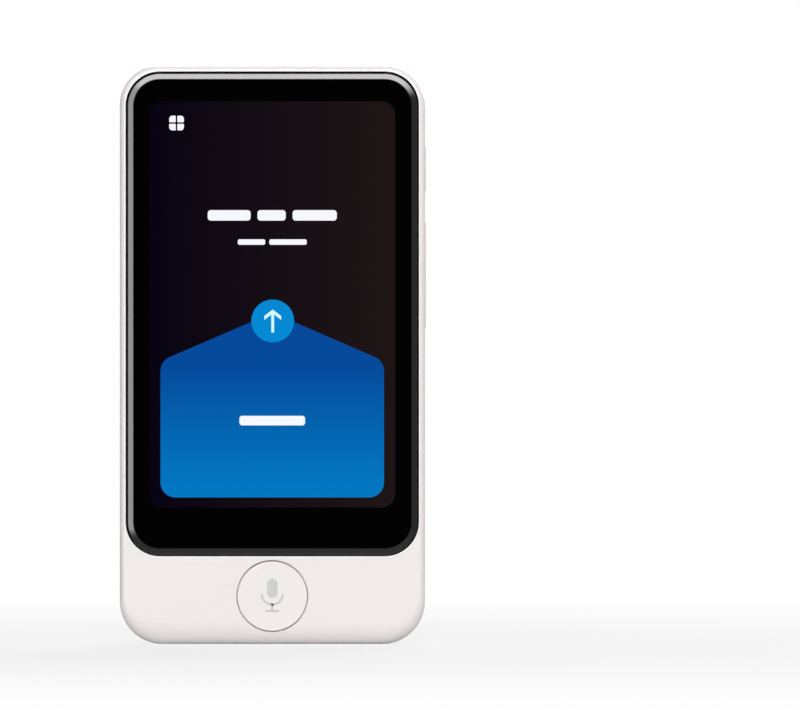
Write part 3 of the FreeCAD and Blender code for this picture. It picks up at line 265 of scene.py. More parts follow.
# %% [markdown]
# Black gloss
#
# The screen's rim and glass are one black to the eye. Gloss is all about what it reflects, so the
# colour is nearly nothing and the roughness very low. The glass has a faint waviness, as a real
# polished sheet does.

# %% Black rim, black glass and dull black
DEEP_BLACK = (0.0004, 0.0004, 0.0005, 1.0)
WAVE_SCALE = 90.0
WAVE_DEPTH = 0.004 * MM
SMEAR_SCALE = 240.0
GLASS_IOR = 1.5
PATCH_SCALE = 300.0
PATCH_SHADE = 0.8


def make_gloss_black(name, rough, edge):
    finish = new_finish(name)
    wave = finish.noise(WAVE_SCALE, 1.0)
    smear = finish.noise(SMEAR_SCALE, 4.0)
    inputs = {
        "Base Color": DEEP_BLACK,
        "Roughness": rough + smear * 0.02,
        "Normal": finish.bump(wave, WAVE_DEPTH, 0.3, finish.soft_edges(edge)),
        "IOR": GLASS_IOR,
    }
    return finish.surface(inputs)


def make_dull(name, tint, rough, grain_scale=3000.0, grain_depth=0.01 * MM, metal=0.0):
    finish = new_finish(name)
    grain = finish.noise(grain_scale, 3.0)
    patch = finish.noise(PATCH_SCALE, 3.0)
    inputs = {
        "Base Color": finish.blend(patch.step(0.3, 0.7), darker(tint, PATCH_SHADE), tint),
        "Roughness": rough + patch * 0.1,
        "Metallic": metal,
        "Normal": finish.bump(grain, grain_depth, 0.6),
    }
    return finish.surface(inputs)


rim_black = make_gloss_black("rim_black", 0.10, 0.12 * MM)
glass_black = make_gloss_black("glass_black", 0.04, 0.3 * MM)
dull_black = make_dull("dull_black", (0.012, 0.012, 0.013, 1.0), 0.5)
print("black finishes:", rim_black.name, glass_black.name, dull_black.name)

# %% [markdown]
# Metals, boards and films inside
#
# Most inner parts are out of sight, but the socket's shell shows from below and the rest shows
# when the model is opened. Each gets its own colour and grain, made by the same two helpers.

# %% Finishes of the inner parts
board_green = make_dull("board_green", linear(18, 74, 48), 0.35, 900.0)
tin_sheet = make_dull("tin_sheet", linear(196, 194, 188), 0.28, 1500.0, 0.004 * MM, 1.0)
plain_steel = make_dull("plain_steel", linear(176, 176, 180), 0.3, 2500.0, 0.004 * MM, 1.0)
cast_metal = make_dull("cast_metal", linear(188, 188, 192), 0.42, 1200.0, 0.012 * MM, 1.0)
gold_plate = make_dull("gold_plate", linear(222, 178, 96), 0.25, 2500.0, 0.002 * MM, 1.0)
amber_film = make_dull("amber_film", linear(156, 96, 30), 0.3, 500.0)
grey_rubber = make_dull("grey_rubber", linear(86, 86, 90), 0.7)
foil_pouch = make_dull("foil_pouch", linear(92, 92, 98), 0.4, 260.0, 0.03 * MM)
white_sheet = make_dull("white_sheet", linear(225, 225, 225), 0.6)
chip_black = make_dull("chip_black", linear(38, 38, 40), 0.55)
card_plastic = make_dull("card_plastic", linear(214, 216, 222), 0.4)
print("inner finishes made")

# %% [markdown]
# The flash and the camera window
#
# The flash is a cream lens pressed with fine rings. The rings follow a simple rule, the distance
# from the lens's middle, so a sine of that distance makes them. Its rim is painted grey, as painted
# shade where the lens meets its recess. The camera window is dark grey glass with a painted
# reflection: paler at the upper left and darker at the lower right, seen from behind.

# %% Cream flash lens and smoked camera glass
flash_low, flash_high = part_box("flash_lens")
flash_centre = (flash_low + flash_high) / 2
window_low, window_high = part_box("camera_window")
window_centre = (window_low + window_high) / 2
back_level = window_high.y
FLASH_RING_PITCH = 0.24 * MM
FLASH_RING_DEPTH = 0.03 * MM
# The band at the lens's rim that is painted grey as painted shade, where the lens meets its recess.
FLASH_SHADED_RIM = (1.25 * MM, 1.5 * MM)
FLASH_GLOW = 0.9 * MM
# The span over which the window's painted reflection runs from its darker to its paler side.
WINDOW_PAINTED_LIGHT_SPAN = (-0.5 * MM, 0.3 * MM)
WINDOW_EDGE = 0.12 * MM


def distance_from(finish, centre):
    across, _, up = finish.axes()
    side = across - centre.x
    rise = up - centre.z
    return (side * side + rise * rise).root()


def make_flash_lens():
    finish = new_finish("flash_cream")
    out = distance_from(finish, flash_centre)
    ridge = (out * (2 * math.pi / FLASH_RING_PITCH)).sine()
    # edge is 1 at the rim: painted shade where the lens meets its recess, and the rings fade out there.
    edge = out.step(*FLASH_SHADED_RIM)
    glow = out.step(0.0, FLASH_GLOW)
    middle = finish.blend(glow, linear(240, 238, 196), linear(231, 235, 217))
    inputs = {
        "Base Color": finish.blend(edge, middle, linear(150, 150, 132)),
        "Roughness": 0.16,
        "Normal": finish.bump(ridge * (1 - edge), FLASH_RING_DEPTH, 0.7),
    }
    return finish.surface(inputs)


def make_smoked_glass():
    finish = new_finish("smoked_glass")
    across, _, up = finish.axes()
    # Painted reflection: the glass is paler towards the upper left and darker towards the lower right,
    # seen from behind.
    painted_light_slope = (across - window_centre.x) + (up - window_centre.z)
    share = painted_light_slope.step(*WINDOW_PAINTED_LIGHT_SPAN)
    inputs = {
        "Base Color": finish.blend(share, linear(44, 44, 43), linear(72, 73, 69)),
        "Roughness": 0.06,
        "Normal": finish.soft_edges(WINDOW_EDGE),
        "IOR": GLASS_IOR,
    }
    return finish.surface(inputs)


flash_cream = make_flash_lens()
smoked_glass = make_smoked_glass()
print("window width in mm:", round((window_high.x - window_low.x) / MM, 2))

# %% [markdown]
# Dress the solids
#
# Each solid has one finish. A table of finish to solids keeps it easy to read, and a last line
# checks that nothing was forgotten.

# %% Give every solid its finish
DRESS = {
    front_white: "front_housing",
    back_white: "rear_cover power_button volume_rocker sim_tray",
    button_white: "talk_button",
    rim_black: "screen_bezel",
    glass_black: "cover_glass lcd_panel autofocus_lens",
    dull_black: "glass_adhesive camera_module camera_gasket battery_adhesive battery_connector usb_tongue"
    " display_connector link_connector speaker_left speaker_right",
    white_sheet: "backlight_unit",
    cast_metal: "mid_frame side_key_bracket motor_rotor",
    plain_steel: "frame_screws lower_board_screws main_board_screws talk_button_dome usb_socket"
    " lever_pivot_pin side_switches eject_rod eject_lever motor_shaft",
    tin_sheet: "shield_can sim_reader bottom_microphone top_microphone motor_can",
    board_green: "lower_board main_board",
    chip_black: "processor memory_chip",
    grey_rubber: "thermal_pad microphone_boots speaker_cones",
    amber_film: "battery_lead side_key_flex display_flex board_link_flex antenna_flex",
    foil_pouch: "battery_pack",
    card_plastic: "sim_card",
    flash_cream: "flash_lens flash_led",
    smoked_glass: "camera_window",
}
dressed = set()
for finish_material, names in DRESS.items():
    for name in names.split():
        nodes[name].data.materials.clear()
        nodes[name].data.materials.append(finish_material)
        dressed.add(name)
print("undressed solids:", sorted(set(nodes) - dressed))

# %% [markdown]
# The camera
#
# The portrait is flat-on and shows almost no perspective, so a long lens stands two metres away
# and looks straight along +Y. It stands a little to the right of the unit, which keeps the unit
# at the left of the picture without shifting the lens.

# %% Camera
PICTURE_WIDTH = 800
PICTURE_HEIGHT = 710
UNIT_MIDDLE_PX = (272.6, 354.7)
SILHOUETTE_LEVEL = -0.6 * MM
UNIT_WIDTH_PX = 304.8
CAMERA_AWAY = 2.0
SENSOR = 36.0

unit_middle = (cad_low + cad_high) / 2
metres_per_px = -2 * cad_low.x / UNIT_WIDTH_PX
aim_x = (PICTURE_WIDTH / 2 - UNIT_MIDDLE_PX[0]) * metres_per_px
aim_z = unit_middle.z - (PICTURE_HEIGHT / 2 - UNIT_MIDDLE_PX[1]) * metres_per_px
camera_data = bpy.data.cameras.new("portrait_camera")
camera_data.sensor_width = SENSOR
camera_data.lens = SENSOR * (CAMERA_AWAY + SILHOUETTE_LEVEL) / (PICTURE_WIDTH * metres_per_px)
camera_data.clip_start = 0.01
camera_data.clip_end = 50.0
camera = bpy.data.objects.new("portrait_camera", camera_data)
camera.location = (aim_x, -CAMERA_AWAY, aim_z)
camera.rotation_euler = (math.radians(90), 0.0, 0.0)
bpy.context.scene.collection.objects.link(camera)
bpy.context.scene.camera = camera
bpy.context.scene.view_settings.view_transform = "Standard"
print("lens in mm:", round(camera_data.lens, 1))

# %% [markdown]
# Soft studio light
#
# Four soft lamps light the unit, and the world fills in: paler in front, darker from the sides
# and from below, so that the rounded foot of the shell turns grey. Two of the lamps are hidden
# from mirrors, because their hard edges would show in the black glass.

# %% Lamps
def soft_lamp(name, azimuth, elevation, away, size, glow, in_mirrors=True):
    """A rectangle of light that faces the unit; azimuth 0 stands in front of the screen."""
    lamp = bpy.data.lights.new(name, "AREA")
    lamp.shape = "RECTANGLE"
    lamp.size, lamp.size_y = size
    lamp.energy = glow * math.pi * lamp.size * lamp.size_y
    holder = bpy.data.objects.new(name, lamp)
    turn = math.radians(azimuth)
    rise = math.radians(elevation)
    level = math.cos(rise)
    back = Vector((math.sin(turn) * level, -math.cos(turn) * level, math.sin(rise)))
    holder.location = unit_middle + back * away
    holder.rotation_mode = "QUATERNION"
    holder.rotation_quaternion = (-back).to_track_quat("-Z", "Y")
    holder.visible_glossy = in_mirrors
    bpy.context.scene.collection.objects.link(holder)


soft_lamp("top_lamp", azimuth=0, elevation=15, away=1.3, size=(0.7, 0.24), glow=15.4, in_mirrors=False)
soft_lamp("left_lamp", azimuth=-28.5, elevation=1, away=1.4, size=(0.2, 0.55), glow=7.2, in_mirrors=False)
soft_lamp("back_lamp", azimuth=168, elevation=24, away=1.4, size=(1.0, 0.8), glow=5.2)
soft_lamp("side_lamp", azimuth=100, elevation=14, away=1.5, size=(0.6, 0.8), glow=2.8)

# %% [markdown]
# What the black glass mirrors
#
# Black gloss has no colour of its own and shows only its surroundings. The flat of the glass
# mirrors a dark patch in front of it. The glass's sloped edge leans 14 degrees, so it mirrors
# what stands 28 degrees further out: a soft bright band above and a dimmer one at the left.
# The bands are drawn in the world with smooth steps, so that the shine fades round the corners.
# The left band ends a little below the horizon, so that the glass stays dark from above.

# %% World
WORLD_BASE = 0.3
WORLD_RISE = 0.44
WORLD_SHEEN = 0.55
UNDER_SHADE = 0.85
DARK_SHARE = 0.98
DARK_DEGREES = (26, 12)
BAND_OUTER_DEGREES = (46, 38)
BAND_INNER_DEGREES = (22, 15)
TOP_BAND = 14.0
TOP_BAND_FADE = (0.16, 0.42)
LEFT_BAND = 6.6
LEFT_BAND_FADE = (0.14, 0.4)
LEFT_BAND_FOOT = (-0.3, -0.12)


def cone(front, degrees):
    """1 within the second angle from straight ahead, and 0 outside the first."""
    outer, inner = (math.cos(math.radians(angle)) for angle in degrees)
    return front.step(outer, inner)


def make_world():
    world = bpy.data.worlds.new("studio")
    bpy.context.scene.world = world
    finish = Finish(world)
    across, depth, up = finish.axes("Generated")
    front = depth * -1
    fill = WORLD_BASE + (front * 0.9 + up * 0.25).most(0) * WORLD_RISE
    plain = fill * (1 - (up * -UNDER_SHADE).most(0))
    dark_patch = cone(front, DARK_DEGREES) * DARK_SHARE
    around = cone(front, BAND_OUTER_DEGREES) * (1 - cone(front, BAND_INNER_DEGREES))
    above = up.step(*TOP_BAND_FADE) * TOP_BAND
    beside = (across * -1).step(*LEFT_BAND_FADE) * up.step(*LEFT_BAND_FOOT) * LEFT_BAND
    sheen = WORLD_SHEEN * (1 - dark_patch) + around * above.most(beside)
    mirrored = finish.ray("Glossy")
    lit = mirrored * sheen + (1 - mirrored) * plain
    seen = finish.ray("Camera").most(finish.ray("Transmission"))
    strength = seen.most((1 - seen) * lit)
    shader = finish.node("ShaderNodeBackground", {}, {"Color": (1, 1, 1, 1), "Strength": strength})
    finish.end(shader, "ShaderNodeOutputWorld")


make_world()
print("world:", bpy.context.scene.world.name)

# %% [markdown]
# A pale floor
#
# The unit stands on white. Near the unit the floor takes part of the shadow, and further out it
# is only its own light, so that it melts into the white world. In the black glass it would show
# as grey, so mirrors see it dim close by, and further off they look through it.

# %% Floor
FLOOR_RADIUS = 6.0
FLOOR_DROP = 0.02 * MM
SHADOW_SHARE = 0.3
SHADOW_FADE = (0.06, 0.45)
MIRROR_GLOW = 0.7
MIRROR_FADE = (0.05, 0.24)
BOUNCE_PAINT = 0.35
SEEN_PAINT = 0.8


def grey(level):
    return (level, level, level, 1.0)


def make_floor():
    mesh = bpy.data.meshes.new("floor")
    form = bmesh.new()
    bmesh.ops.create_circle(form, cap_ends=True, segments=96, radius=FLOOR_RADIUS)
    bmesh.ops.translate(form, verts=form.verts, vec=(0, 0, cad_low.z - FLOOR_DROP))
    form.to_mesh(mesh)
    form.free()
    floor = bpy.data.objects.new("floor", mesh)
    bpy.context.scene.collection.objects.link(floor)
    finish = new_finish("floor_white")
    across, depth, _ = finish.axes()
    far = (across * across + depth * depth).root()
    mirrored = finish.ray("Glossy")
    direct = finish.ray("Camera").most(finish.ray("Transmission"))
    light = finish.blend(mirrored, grey(1.0), grey(MIRROR_GLOW))
    shadow = SHADOW_SHARE * (1 - far.step(*SHADOW_FADE)) * direct
    shade = finish.blend(direct, grey(BOUNCE_PAINT), grey(SEEN_PAINT))
    paint = finish.node("ShaderNodeBsdfDiffuse", {}, {"Color": shade})
    glow = finish.node("ShaderNodeEmission", {}, {"Color": light})
    near = finish.node("ShaderNodeMixShader", {}, {0: direct.most(mirrored) - shadow, 1: paint, 2: glow})
    clear = finish.node("ShaderNodeBsdfTransparent", {}, {})
    gone = mirrored * far.step(*MIRROR_FADE)
    finish.end(finish.node("ShaderNodeMixShader", {}, {0: gone, 1: near, 2: clear}))
    mesh.materials.append(finish.owner)
    floor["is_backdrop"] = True


make_floor()
print("floor radius in m:", FLOOR_RADIUS)

# %% [markdown]
# Outlines with rounded corners
#
# The screen's picture is made of flat shapes: a panel with a roof, bars and squares. One helper
# rounds the corners of any outline, each with its own radius, by walking round an arc that
# touches both sides. Another turns outlines into thin closed plates in front of a level.

# %% Rounded outlines and thin plates
ARC_STEPS = 10
RING_STEPS = 64


def shown(name, mesh, body):
    """The mesh as a piece that rides on a body."""
    piece = bpy.data.objects.new(name, mesh)
    bpy.context.scene.collection.objects.link(piece)
    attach(piece, body)


def rounded(corners, radii):
    """The outline's points in (x, z), with an arc at every corner."""
    points = []
    count = len(corners)
    for index, corner in enumerate(corners):
        here = Vector(corner)
        before = (Vector(corners[index - 1]) - here).normalized()
        after = (Vector(corners[(index + 1) % count]) - here).normalized()
        radius = radii[index]
        if radius <= 0:
            points.append(here)
            continue
        half = before.angle(after) / 2
        reach = radius / math.tan(half)
        middle = here + (before + after).normalized() * (radius / math.sin(half))
        first = here + before * reach - middle
        last = here + after * reach - middle
        turn = first.angle_signed(last)
        for number in range(ARC_STEPS + 1):
            share = -turn * number / ARC_STEPS
            spun = Vector((
                first.x * math.cos(share) - first.y * math.sin(share),
                first.x * math.sin(share) + first.y * math.cos(share),
            ))
            points.append(middle + spun)
    return points


def box_outline(left, right, low, high, radius):
    corners = [(left, low), (right, low), (right, high), (left, high)]
    return rounded(corners, [radius] * 4)


def ring_outline(centre, radius):
    turns = [2 * math.pi * number / RING_STEPS for number in range(RING_STEPS)]
    return [Vector(centre) + radius * Vector((math.cos(turn), math.sin(turn))) for turn in turns]


def plates(name, outlines, level, thick, material, body="casing"):
    """Thin plates from outlines in millimetres, which rise from a level towards -Y."""
    mesh = bpy.data.meshes.new(name)
    form = bmesh.new()
    for outline in outlines:
        verts = [form.verts.new((point.x * MM, level, point.y * MM)) for point in outline]
        face = form.faces.new(verts)
        raised = bmesh.ops.extrude_face_region(form, geom=[face])["geom"]
        moved = [item for item in raised if isinstance(item, bmesh.types.BMVert)]
        bmesh.ops.translate(form, verts=moved, vec=(0, -thick, 0))
    bmesh.ops.recalc_face_normals(form, faces=form.faces)
    form.to_mesh(mesh)
    form.free()
    mesh.materials.append(material)
    shown(name, mesh, body)


print("points in a rounded box:", len(box_outline(0, 10, 0, 10, 2)))

# %% [markdown]
# Lit shapes on the screen
#
# A lit shape sends out its own colour and still has the gloss of the glass over it. So its
# finish is the black glass with light added, and the light's colour may change along one axis.

# %% Finishes of the lit shapes
FINE_SCALE = 7000.0


def make_lit(name, axis, start, end, first, last):
    """Light whose colour runs from one level to another along an axis, in millimetres."""
    finish = new_finish(name)
    along = finish.axes()["xyz".index(axis)]
    share = (along - start * MM) / ((end - start) * MM)
    fine = finish.noise(FINE_SCALE, 1.0)
    inputs = {
        "Base Color": DEEP_BLACK,
        "Roughness": 0.04 + fine * 0.01,
        "Emission Color": finish.blend(share.clipped(), first, last),
        "Emission Strength": 1.0,
    }
    return finish.surface(inputs)


DISPLAY_HALF = 26.95
DISPLAY_LOW = 30.0
DISPLAY_HIGH = 119.05
DISPLAY_CORNER = 3.0
PANEL_HALF = 24.5
PANEL_LOW = 32.2
PANEL_SHOULDER = 62.1
PANEL_ROOF_RISE = 10.6
PANEL_CORNER = 3.3
PANEL_ROOF_CORNER = 4.0
BLUE_LOW = PANEL_LOW + 2
BLUE_HIGH = PANEL_SHOULDER - 1
ROUND_CENTRE = (0.1, 70.9)
ROUND_RADIUS = 4.68
ROUND_LOW = 66
ROUND_HIGH = 76

lit_night = make_lit("lit_night", "x", -DISPLAY_HALF, DISPLAY_HALF, linear(5, 1, 17), linear(30, 20, 21))
lit_blue = make_lit("lit_blue", "z", BLUE_LOW, BLUE_HIGH, linear(0, 119, 194), linear(3, 73, 155))
lit_white = make_lit("lit_white", "z", 40, 120, linear(246, 250, 255), linear(246, 246, 250))
lit_sky = make_lit("lit_sky", "z", ROUND_LOW, ROUND_HIGH, linear(3, 138, 212), linear(3, 134, 208))
lit_ice = make_lit("lit_ice", "z", ROUND_LOW, ROUND_HIGH, linear(209, 251, 255), linear(212, 250, 255))
print("lit finishes:", lit_night.name, lit_blue.name, lit_white.name)

# %% [markdown]
# The picture on the screen
#
# A dark page fills the display. A blue panel with a low roof covers its lower part, and a round
# sign with an arrow sits on the roof's top. Rows of plain bars finish it. On the real unit this
# is one picture on a flat display. A picture file would do it too, but drawn shapes stay sharp
# from close by, so each is a very thin plate, one layer further out than the shape under it.

# %% The dark page and the blue panel
page_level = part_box("cover_glass")[0].y
LAYER = 0.012 * MM
page = box_outline(-DISPLAY_HALF, DISPLAY_HALF, DISPLAY_LOW, DISPLAY_HIGH, DISPLAY_CORNER)
plates("screen_page", [page], page_level, LAYER, lit_night)
roof = [
    (-PANEL_HALF, PANEL_LOW),
    (PANEL_HALF, PANEL_LOW),
    (PANEL_HALF, PANEL_SHOULDER),
    (ROUND_CENTRE[0], PANEL_SHOULDER + PANEL_ROOF_RISE),
    (-PANEL_HALF, PANEL_SHOULDER),
]
roof_radii = [PANEL_CORNER, PANEL_CORNER, PANEL_CORNER, PANEL_ROOF_CORNER, PANEL_CORNER]
panel = rounded(roof, roof_radii)
plates("screen_panel", [panel], page_level - LAYER, LAYER, lit_blue)
print("panel points:", len(panel))

# %% The sign of four squares
SIGN_LEFT = -22.6
SIGN_TOP = 115.9
SIGN_CELL = 1.44
SIGN_GAP = 0.34
SIGN_ROUND = 0.72
SIGN_EDGE = 0.15
OUTER_CORNERS = {(0, 0): 3, (0, 1): 0, (1, 0): 2, (1, 1): 1}
cells = []
for (column, row), outer_corner in OUTER_CORNERS.items():
    left = SIGN_LEFT + column * (SIGN_CELL + SIGN_GAP)
    high = SIGN_TOP - row * (SIGN_CELL + SIGN_GAP)
    right = left + SIGN_CELL
    low = high - SIGN_CELL
    radii = [SIGN_EDGE] * 4
    radii[outer_corner] = SIGN_ROUND
    cells.append(rounded([(left, low), (right, low), (right, high), (left, high)], radii))
plates("screen_grid_sign", cells, page_level - LAYER, LAYER, lit_white)
print("cells:", len(cells))

# %% Rows of plain bars
# Each row: its name, foot, height, gaps, the lengths of its bars, and its layer over the page.
BAR_ROUND = 0.3
BAR_ROWS = (
    ("screen_title_bars", 92.9, 2.3, 1.5, (9.4, 6.2, 9.7), 2),
    ("screen_note_bars", 87.6, 1.2, 0.9, (6.0, 8.2), 1),
    ("screen_panel_bars", 48.0, 2.1, 1.2, (14.4,), 2),
)


def bar_row(lengths, low, tall, gap):
    """A row of bars with rounded corners, centred on the screen."""
    total = sum(lengths) + gap * (len(lengths) - 1)
    left = -total / 2
    outlines = []
    for length in lengths:
        outlines.append(box_outline(left, left + length, low, low + tall, tall * BAR_ROUND))
        left += length + gap
    return outlines


for name, low, tall, gap, lengths, layers in BAR_ROWS:
    bars = bar_row(lengths, low, tall, gap)
    plates(name, bars, page_level - LAYER * layers, LAYER, lit_white)
print("rows of bars:", len(BAR_ROWS))

# %% The round sign and its arrow
ARROW_HALF = 1.85
ARROW_LOW = 68.35
ARROW_HIGH = 73.4
ARROW_STROKE = 0.62
ARROW_NECK = 0.9
disc = ring_outline(ROUND_CENTRE, ROUND_RADIUS)
plates("screen_round_sign", [disc], page_level - LAYER * 2, LAYER, lit_sky)
middle = ROUND_CENTRE[0]
half_stroke = ARROW_STROKE / 2
slant = ARROW_STROKE * math.sqrt(2)
neck = ARROW_HIGH - half_stroke - slant * ARROW_NECK
wing_low = ARROW_HIGH - ARROW_HALF - slant / 2
wing_high = ARROW_HIGH - ARROW_HALF + slant / 2
arrow = [
    (middle - half_stroke, ARROW_LOW),
    (middle + half_stroke, ARROW_LOW),
    (middle + half_stroke, neck),
    (middle + ARROW_HALF, wing_low),
    (middle + ARROW_HALF, wing_high),
    (middle, ARROW_HIGH),
    (middle - ARROW_HALF, wing_high),
    (middle - ARROW_HALF, wing_low),
    (middle - half_stroke, neck),
]
arrow_radii = [0.12, 0.12, 0.0, 0.05, 0.05, 0.2, 0.05, 0.05, 0.0]
arrow_outline = rounded(arrow, arrow_radii)
plates("screen_arrow", [arrow_outline], page_level - LAYER * 3, LAYER, lit_ice)
print("arrow points:", len(arrow))

# %% [markdown]
# A mark on the talk button
#
# The button carries a pale grey mark in ink: a plain microphone, with a capsule, a cradle, a
# stem and a foot. A printer lays such ink on through a mask, so it has almost no height. It
# rides on the button and goes in with it.

# %% The microphone mark
button_low, button_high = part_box("talk_button")
button_middle = (button_low + button_high) / 2
INK_LIFT = 0.004 * MM
MARK_STROKE = 0.5
CAPSULE_HALF = 1.15
CAPSULE_LOW = -0.4
CAPSULE_HIGH = 3.8
CAPSULE_CORNER = 1.14
CRADLE_RISE = 0.45
CRADLE_RADIUS = 2.3
STEM_LOW = -3.1
STEM_HIGH = -1.6
STEM_CORNER = 0.02
FOOT_HALF = 1.5
FOOT_LOW = -3.5
FOOT_HIGH = -3.0
FOOT_CORNER = 0.22
BAND_STEPS = 24


def arc_band(centre, radius, stroke, start, end):
    """A band of one width that follows part of a circle, between two angles in degrees."""
    outer = []
    inner = []
    for number in range(BAND_STEPS + 1):
        turn = math.radians(start + (end - start) * number / BAND_STEPS)
        reach = Vector((math.cos(turn), math.sin(turn)))
        outer.append(Vector(centre) + reach * (radius + stroke / 2))
        inner.append(Vector(centre) + reach * (radius - stroke / 2))
    return outer + inner[::-1]


def make_ink():
    finish = new_finish("pale_ink")
    cloud = finish.noise(400.0, 2.0)
    colour = finish.blend(cloud, linear(203, 203, 200), linear(208, 208, 205))
    return finish.surface({"Base Color": colour, "Roughness": 0.42})


pale_ink = make_ink()
mark_z = button_middle.z / MM


def mark_box(half, low, high, corner):
    return box_outline(-half, half, mark_z + low, mark_z + high, corner)


capsule = mark_box(CAPSULE_HALF, CAPSULE_LOW, CAPSULE_HIGH, CAPSULE_CORNER)
cradle = arc_band((0, mark_z + CRADLE_RISE), CRADLE_RADIUS, MARK_STROKE, 180, 360)
stem = mark_box(MARK_STROKE / 2, STEM_LOW, STEM_HIGH, STEM_CORNER)
foot = mark_box(FOOT_HALF, FOOT_LOW, FOOT_HIGH, FOOT_CORNER)
shapes = [capsule, cradle, stem, foot]
plates("talk_mark", shapes, button_low.y, INK_LIFT, pale_ink, "talk_key")
print("mark centre in mm:", round(mark_z, 2))

# %% [markdown]
# The camera's eye
#
# Behind the smoked window sits a small lens. From outside it reads as rings: a black collar, a
# step that catches light, and a coated glass in the middle whose violet-blue ring is a painted
# reflection. The window is a dark solid here, so these lie on its outer face, almost flat. Each
# is a profile of a few points spun round the camera's axis, as on a lathe.

# %% Rings and dome of the camera's eye
TURN_STEPS = 72
EYE_RADIUS = 1.25
EYE_LIFT = 0.012
COLLAR_RADIUS = 2.1
COLLAR_LIFT = 0.01


def turned(name, centre, level, profile, material):
    """A ring or dome: (radius, height) points in millimetres spun about an axis along +Y."""
    mesh = bpy.data.meshes.new(name)
    form = bmesh.new()
    loops = []
    for radius, height in profile:
        if radius == 0:
            loops.append([form.verts.new((centre.x, level + height * MM, centre.z))])
            continue
        loop = []
        for number in range(TURN_STEPS):
            turn = 2 * math.pi * number / TURN_STEPS
            spot = (
                centre.x + radius * MM * math.cos(turn),
                level + height * MM,
                centre.z + radius * MM * math.sin(turn),
            )
            loop.append(form.verts.new(spot))
        loops.append(loop)
    for first, second in zip(loops, loops[1:]):
        for number in range(TURN_STEPS):
            following = (number + 1) % TURN_STEPS
            corners = [first[number % len(first)], first[following % len(first)]]
            corners += [second[following % len(second)], second[number % len(second)]]
            form.faces.new(list(dict.fromkeys(corners)))
    bmesh.ops.recalc_face_normals(form, faces=form.faces)
    for face in form.faces:
        face.smooth = True
    form.to_mesh(mesh)
    form.free()
    mesh.materials.append(material)
    shown(name, mesh, "casing")


def make_glass_painted_glint():
    finish = new_finish("coated_glass_painted_glint")
    out = distance_from(finish, window_centre) / (EYE_RADIUS * MM)
    # Painted reflection: the ramp is dark in the middle, brightest violet-blue in a ring, and dark again
    # at the rim.
    stops = [
        (0.0, linear(16, 14, 30)),
        (0.35, linear(44, 40, 88)),
        (0.62, linear(70, 64, 132)),
        (0.8, linear(30, 28, 60)),
        (1.0, linear(8, 8, 12)),
    ]
    colour = finish.node("ShaderNodeValToRGB", {"stops": stops}, {"Fac": out}, output="Color")
    return finish.surface({"Base Color": colour, "Roughness": 0.05, "IOR": 1.7})


coated_glass_painted_glint = make_glass_painted_glint()
collar = [
    (0, 0),
    (COLLAR_RADIUS, 0),
    (COLLAR_RADIUS, COLLAR_LIFT),
    (1.95, COLLAR_LIFT * 1.6),
    (1.45, COLLAR_LIFT),
    (0, COLLAR_LIFT),
]
turned("camera_collar", window_centre, back_level, collar, glass_black)
dome = [(0, EYE_LIFT), (EYE_RADIUS, EYE_LIFT), (EYE_RADIUS, 0.016), (0.95, 0.05), (0.5, 0.075), (0, 0.085)]
turned("camera_eye", window_centre, back_level, dome, coated_glass_painted_glint)
print("eye radius in mm:", EYE_RADIUS)

# %% [markdown]
# Geometry Nodes for what repeats or follows a path
#
# Socket contacts, the threads of a cloth and a bead round the screen are each one small shape
# that is repeated or drawn along a path. Copying by hand would do, but a node tree states the
# rule once, with named inputs. A helper builds the tree, sets its inputs by their identifiers,
# and keeps the result as a plain mesh without the modifier.

# %% A helper for geometry trees
class Pattern:
    """A geometry tree with named inputs, which is kept as a plain mesh."""

    def __init__(self, name, inputs):
        self.name = name
        self.tree = bpy.data.node_groups.new(name, "GeometryNodeTree")
        self.tree.interface.new_socket("Geometry", in_out="OUTPUT", socket_type="NodeSocketGeometry")
        self.values = {}
        for label, (kind, value) in inputs.items():
            socket = self.tree.interface.new_socket(label, in_out="INPUT", socket_type=f"NodeSocket{kind}")
            self.values[socket.identifier] = value
        self.given = self.tree.nodes.new("NodeGroupInput").outputs

    def node(self, kind, settings, inputs, output=0):
        node = self.tree.nodes.new(kind)
        for name, value in settings.items():
            setattr(node, name, value)
        for key, value in inputs.items():
            if isinstance(value, bpy.types.NodeSocket):
                self.tree.links.new(value, node.inputs[key])
            else:
                node.inputs[key].default_value = value
        return node.outputs[output]

    def row(self, shape, count, step, start=(0.0, 0.0, 0.0)):
        """Copies of a shape on the points of a straight line."""
        inputs = {"Count": count, "Offset": step, "Start Location": start}
        line = self.node("GeometryNodeMeshLine", {}, inputs)
        return self.node("GeometryNodeInstanceOnPoints", {}, {"Points": line, "Instance": shape})

    def kept(self, shape, material):
        """The finished shape as a piece of the casing."""
        real = self.node("GeometryNodeRealizeInstances", {}, {0: shape})
        done = self.node("GeometryNodeSetMaterial", {}, {0: real, "Material": material})
        result = self.tree.nodes.new("NodeGroupOutput")
        self.tree.links.new(done, result.inputs[0])
        holder = bpy.data.objects.new(f"{self.name}_holder", bpy.data.meshes.new(f"{self.name}_holder"))
        bpy.context.scene.collection.objects.link(holder)
        modifier = holder.modifiers.new("pattern", "NODES")
        modifier.node_group = self.tree
        for identifier, value in self.values.items():
            modifier[identifier] = value
        graph = bpy.context.evaluated_depsgraph_get()
        mesh = bpy.data.meshes.new_from_object(holder.evaluated_get(graph), depsgraph=graph)
        bpy.data.objects.remove(holder)
        form = bmesh.new()
        form.from_mesh(mesh)
        bmesh.ops.recalc_face_normals(form, faces=form.faces)
        form.to_mesh(mesh)
        form.free()
        mesh.name = self.name
        shown(self.name, mesh, "casing")
        print(self.name, "faces:", len(mesh.polygons))


# %% [markdown]
# Contacts in the charging socket
#
# The tongue in the socket has twelve flat gold contacts on each face, stamped from one sheet.
# They are one strip, repeated along the tongue, and the whole row once more on the other face.

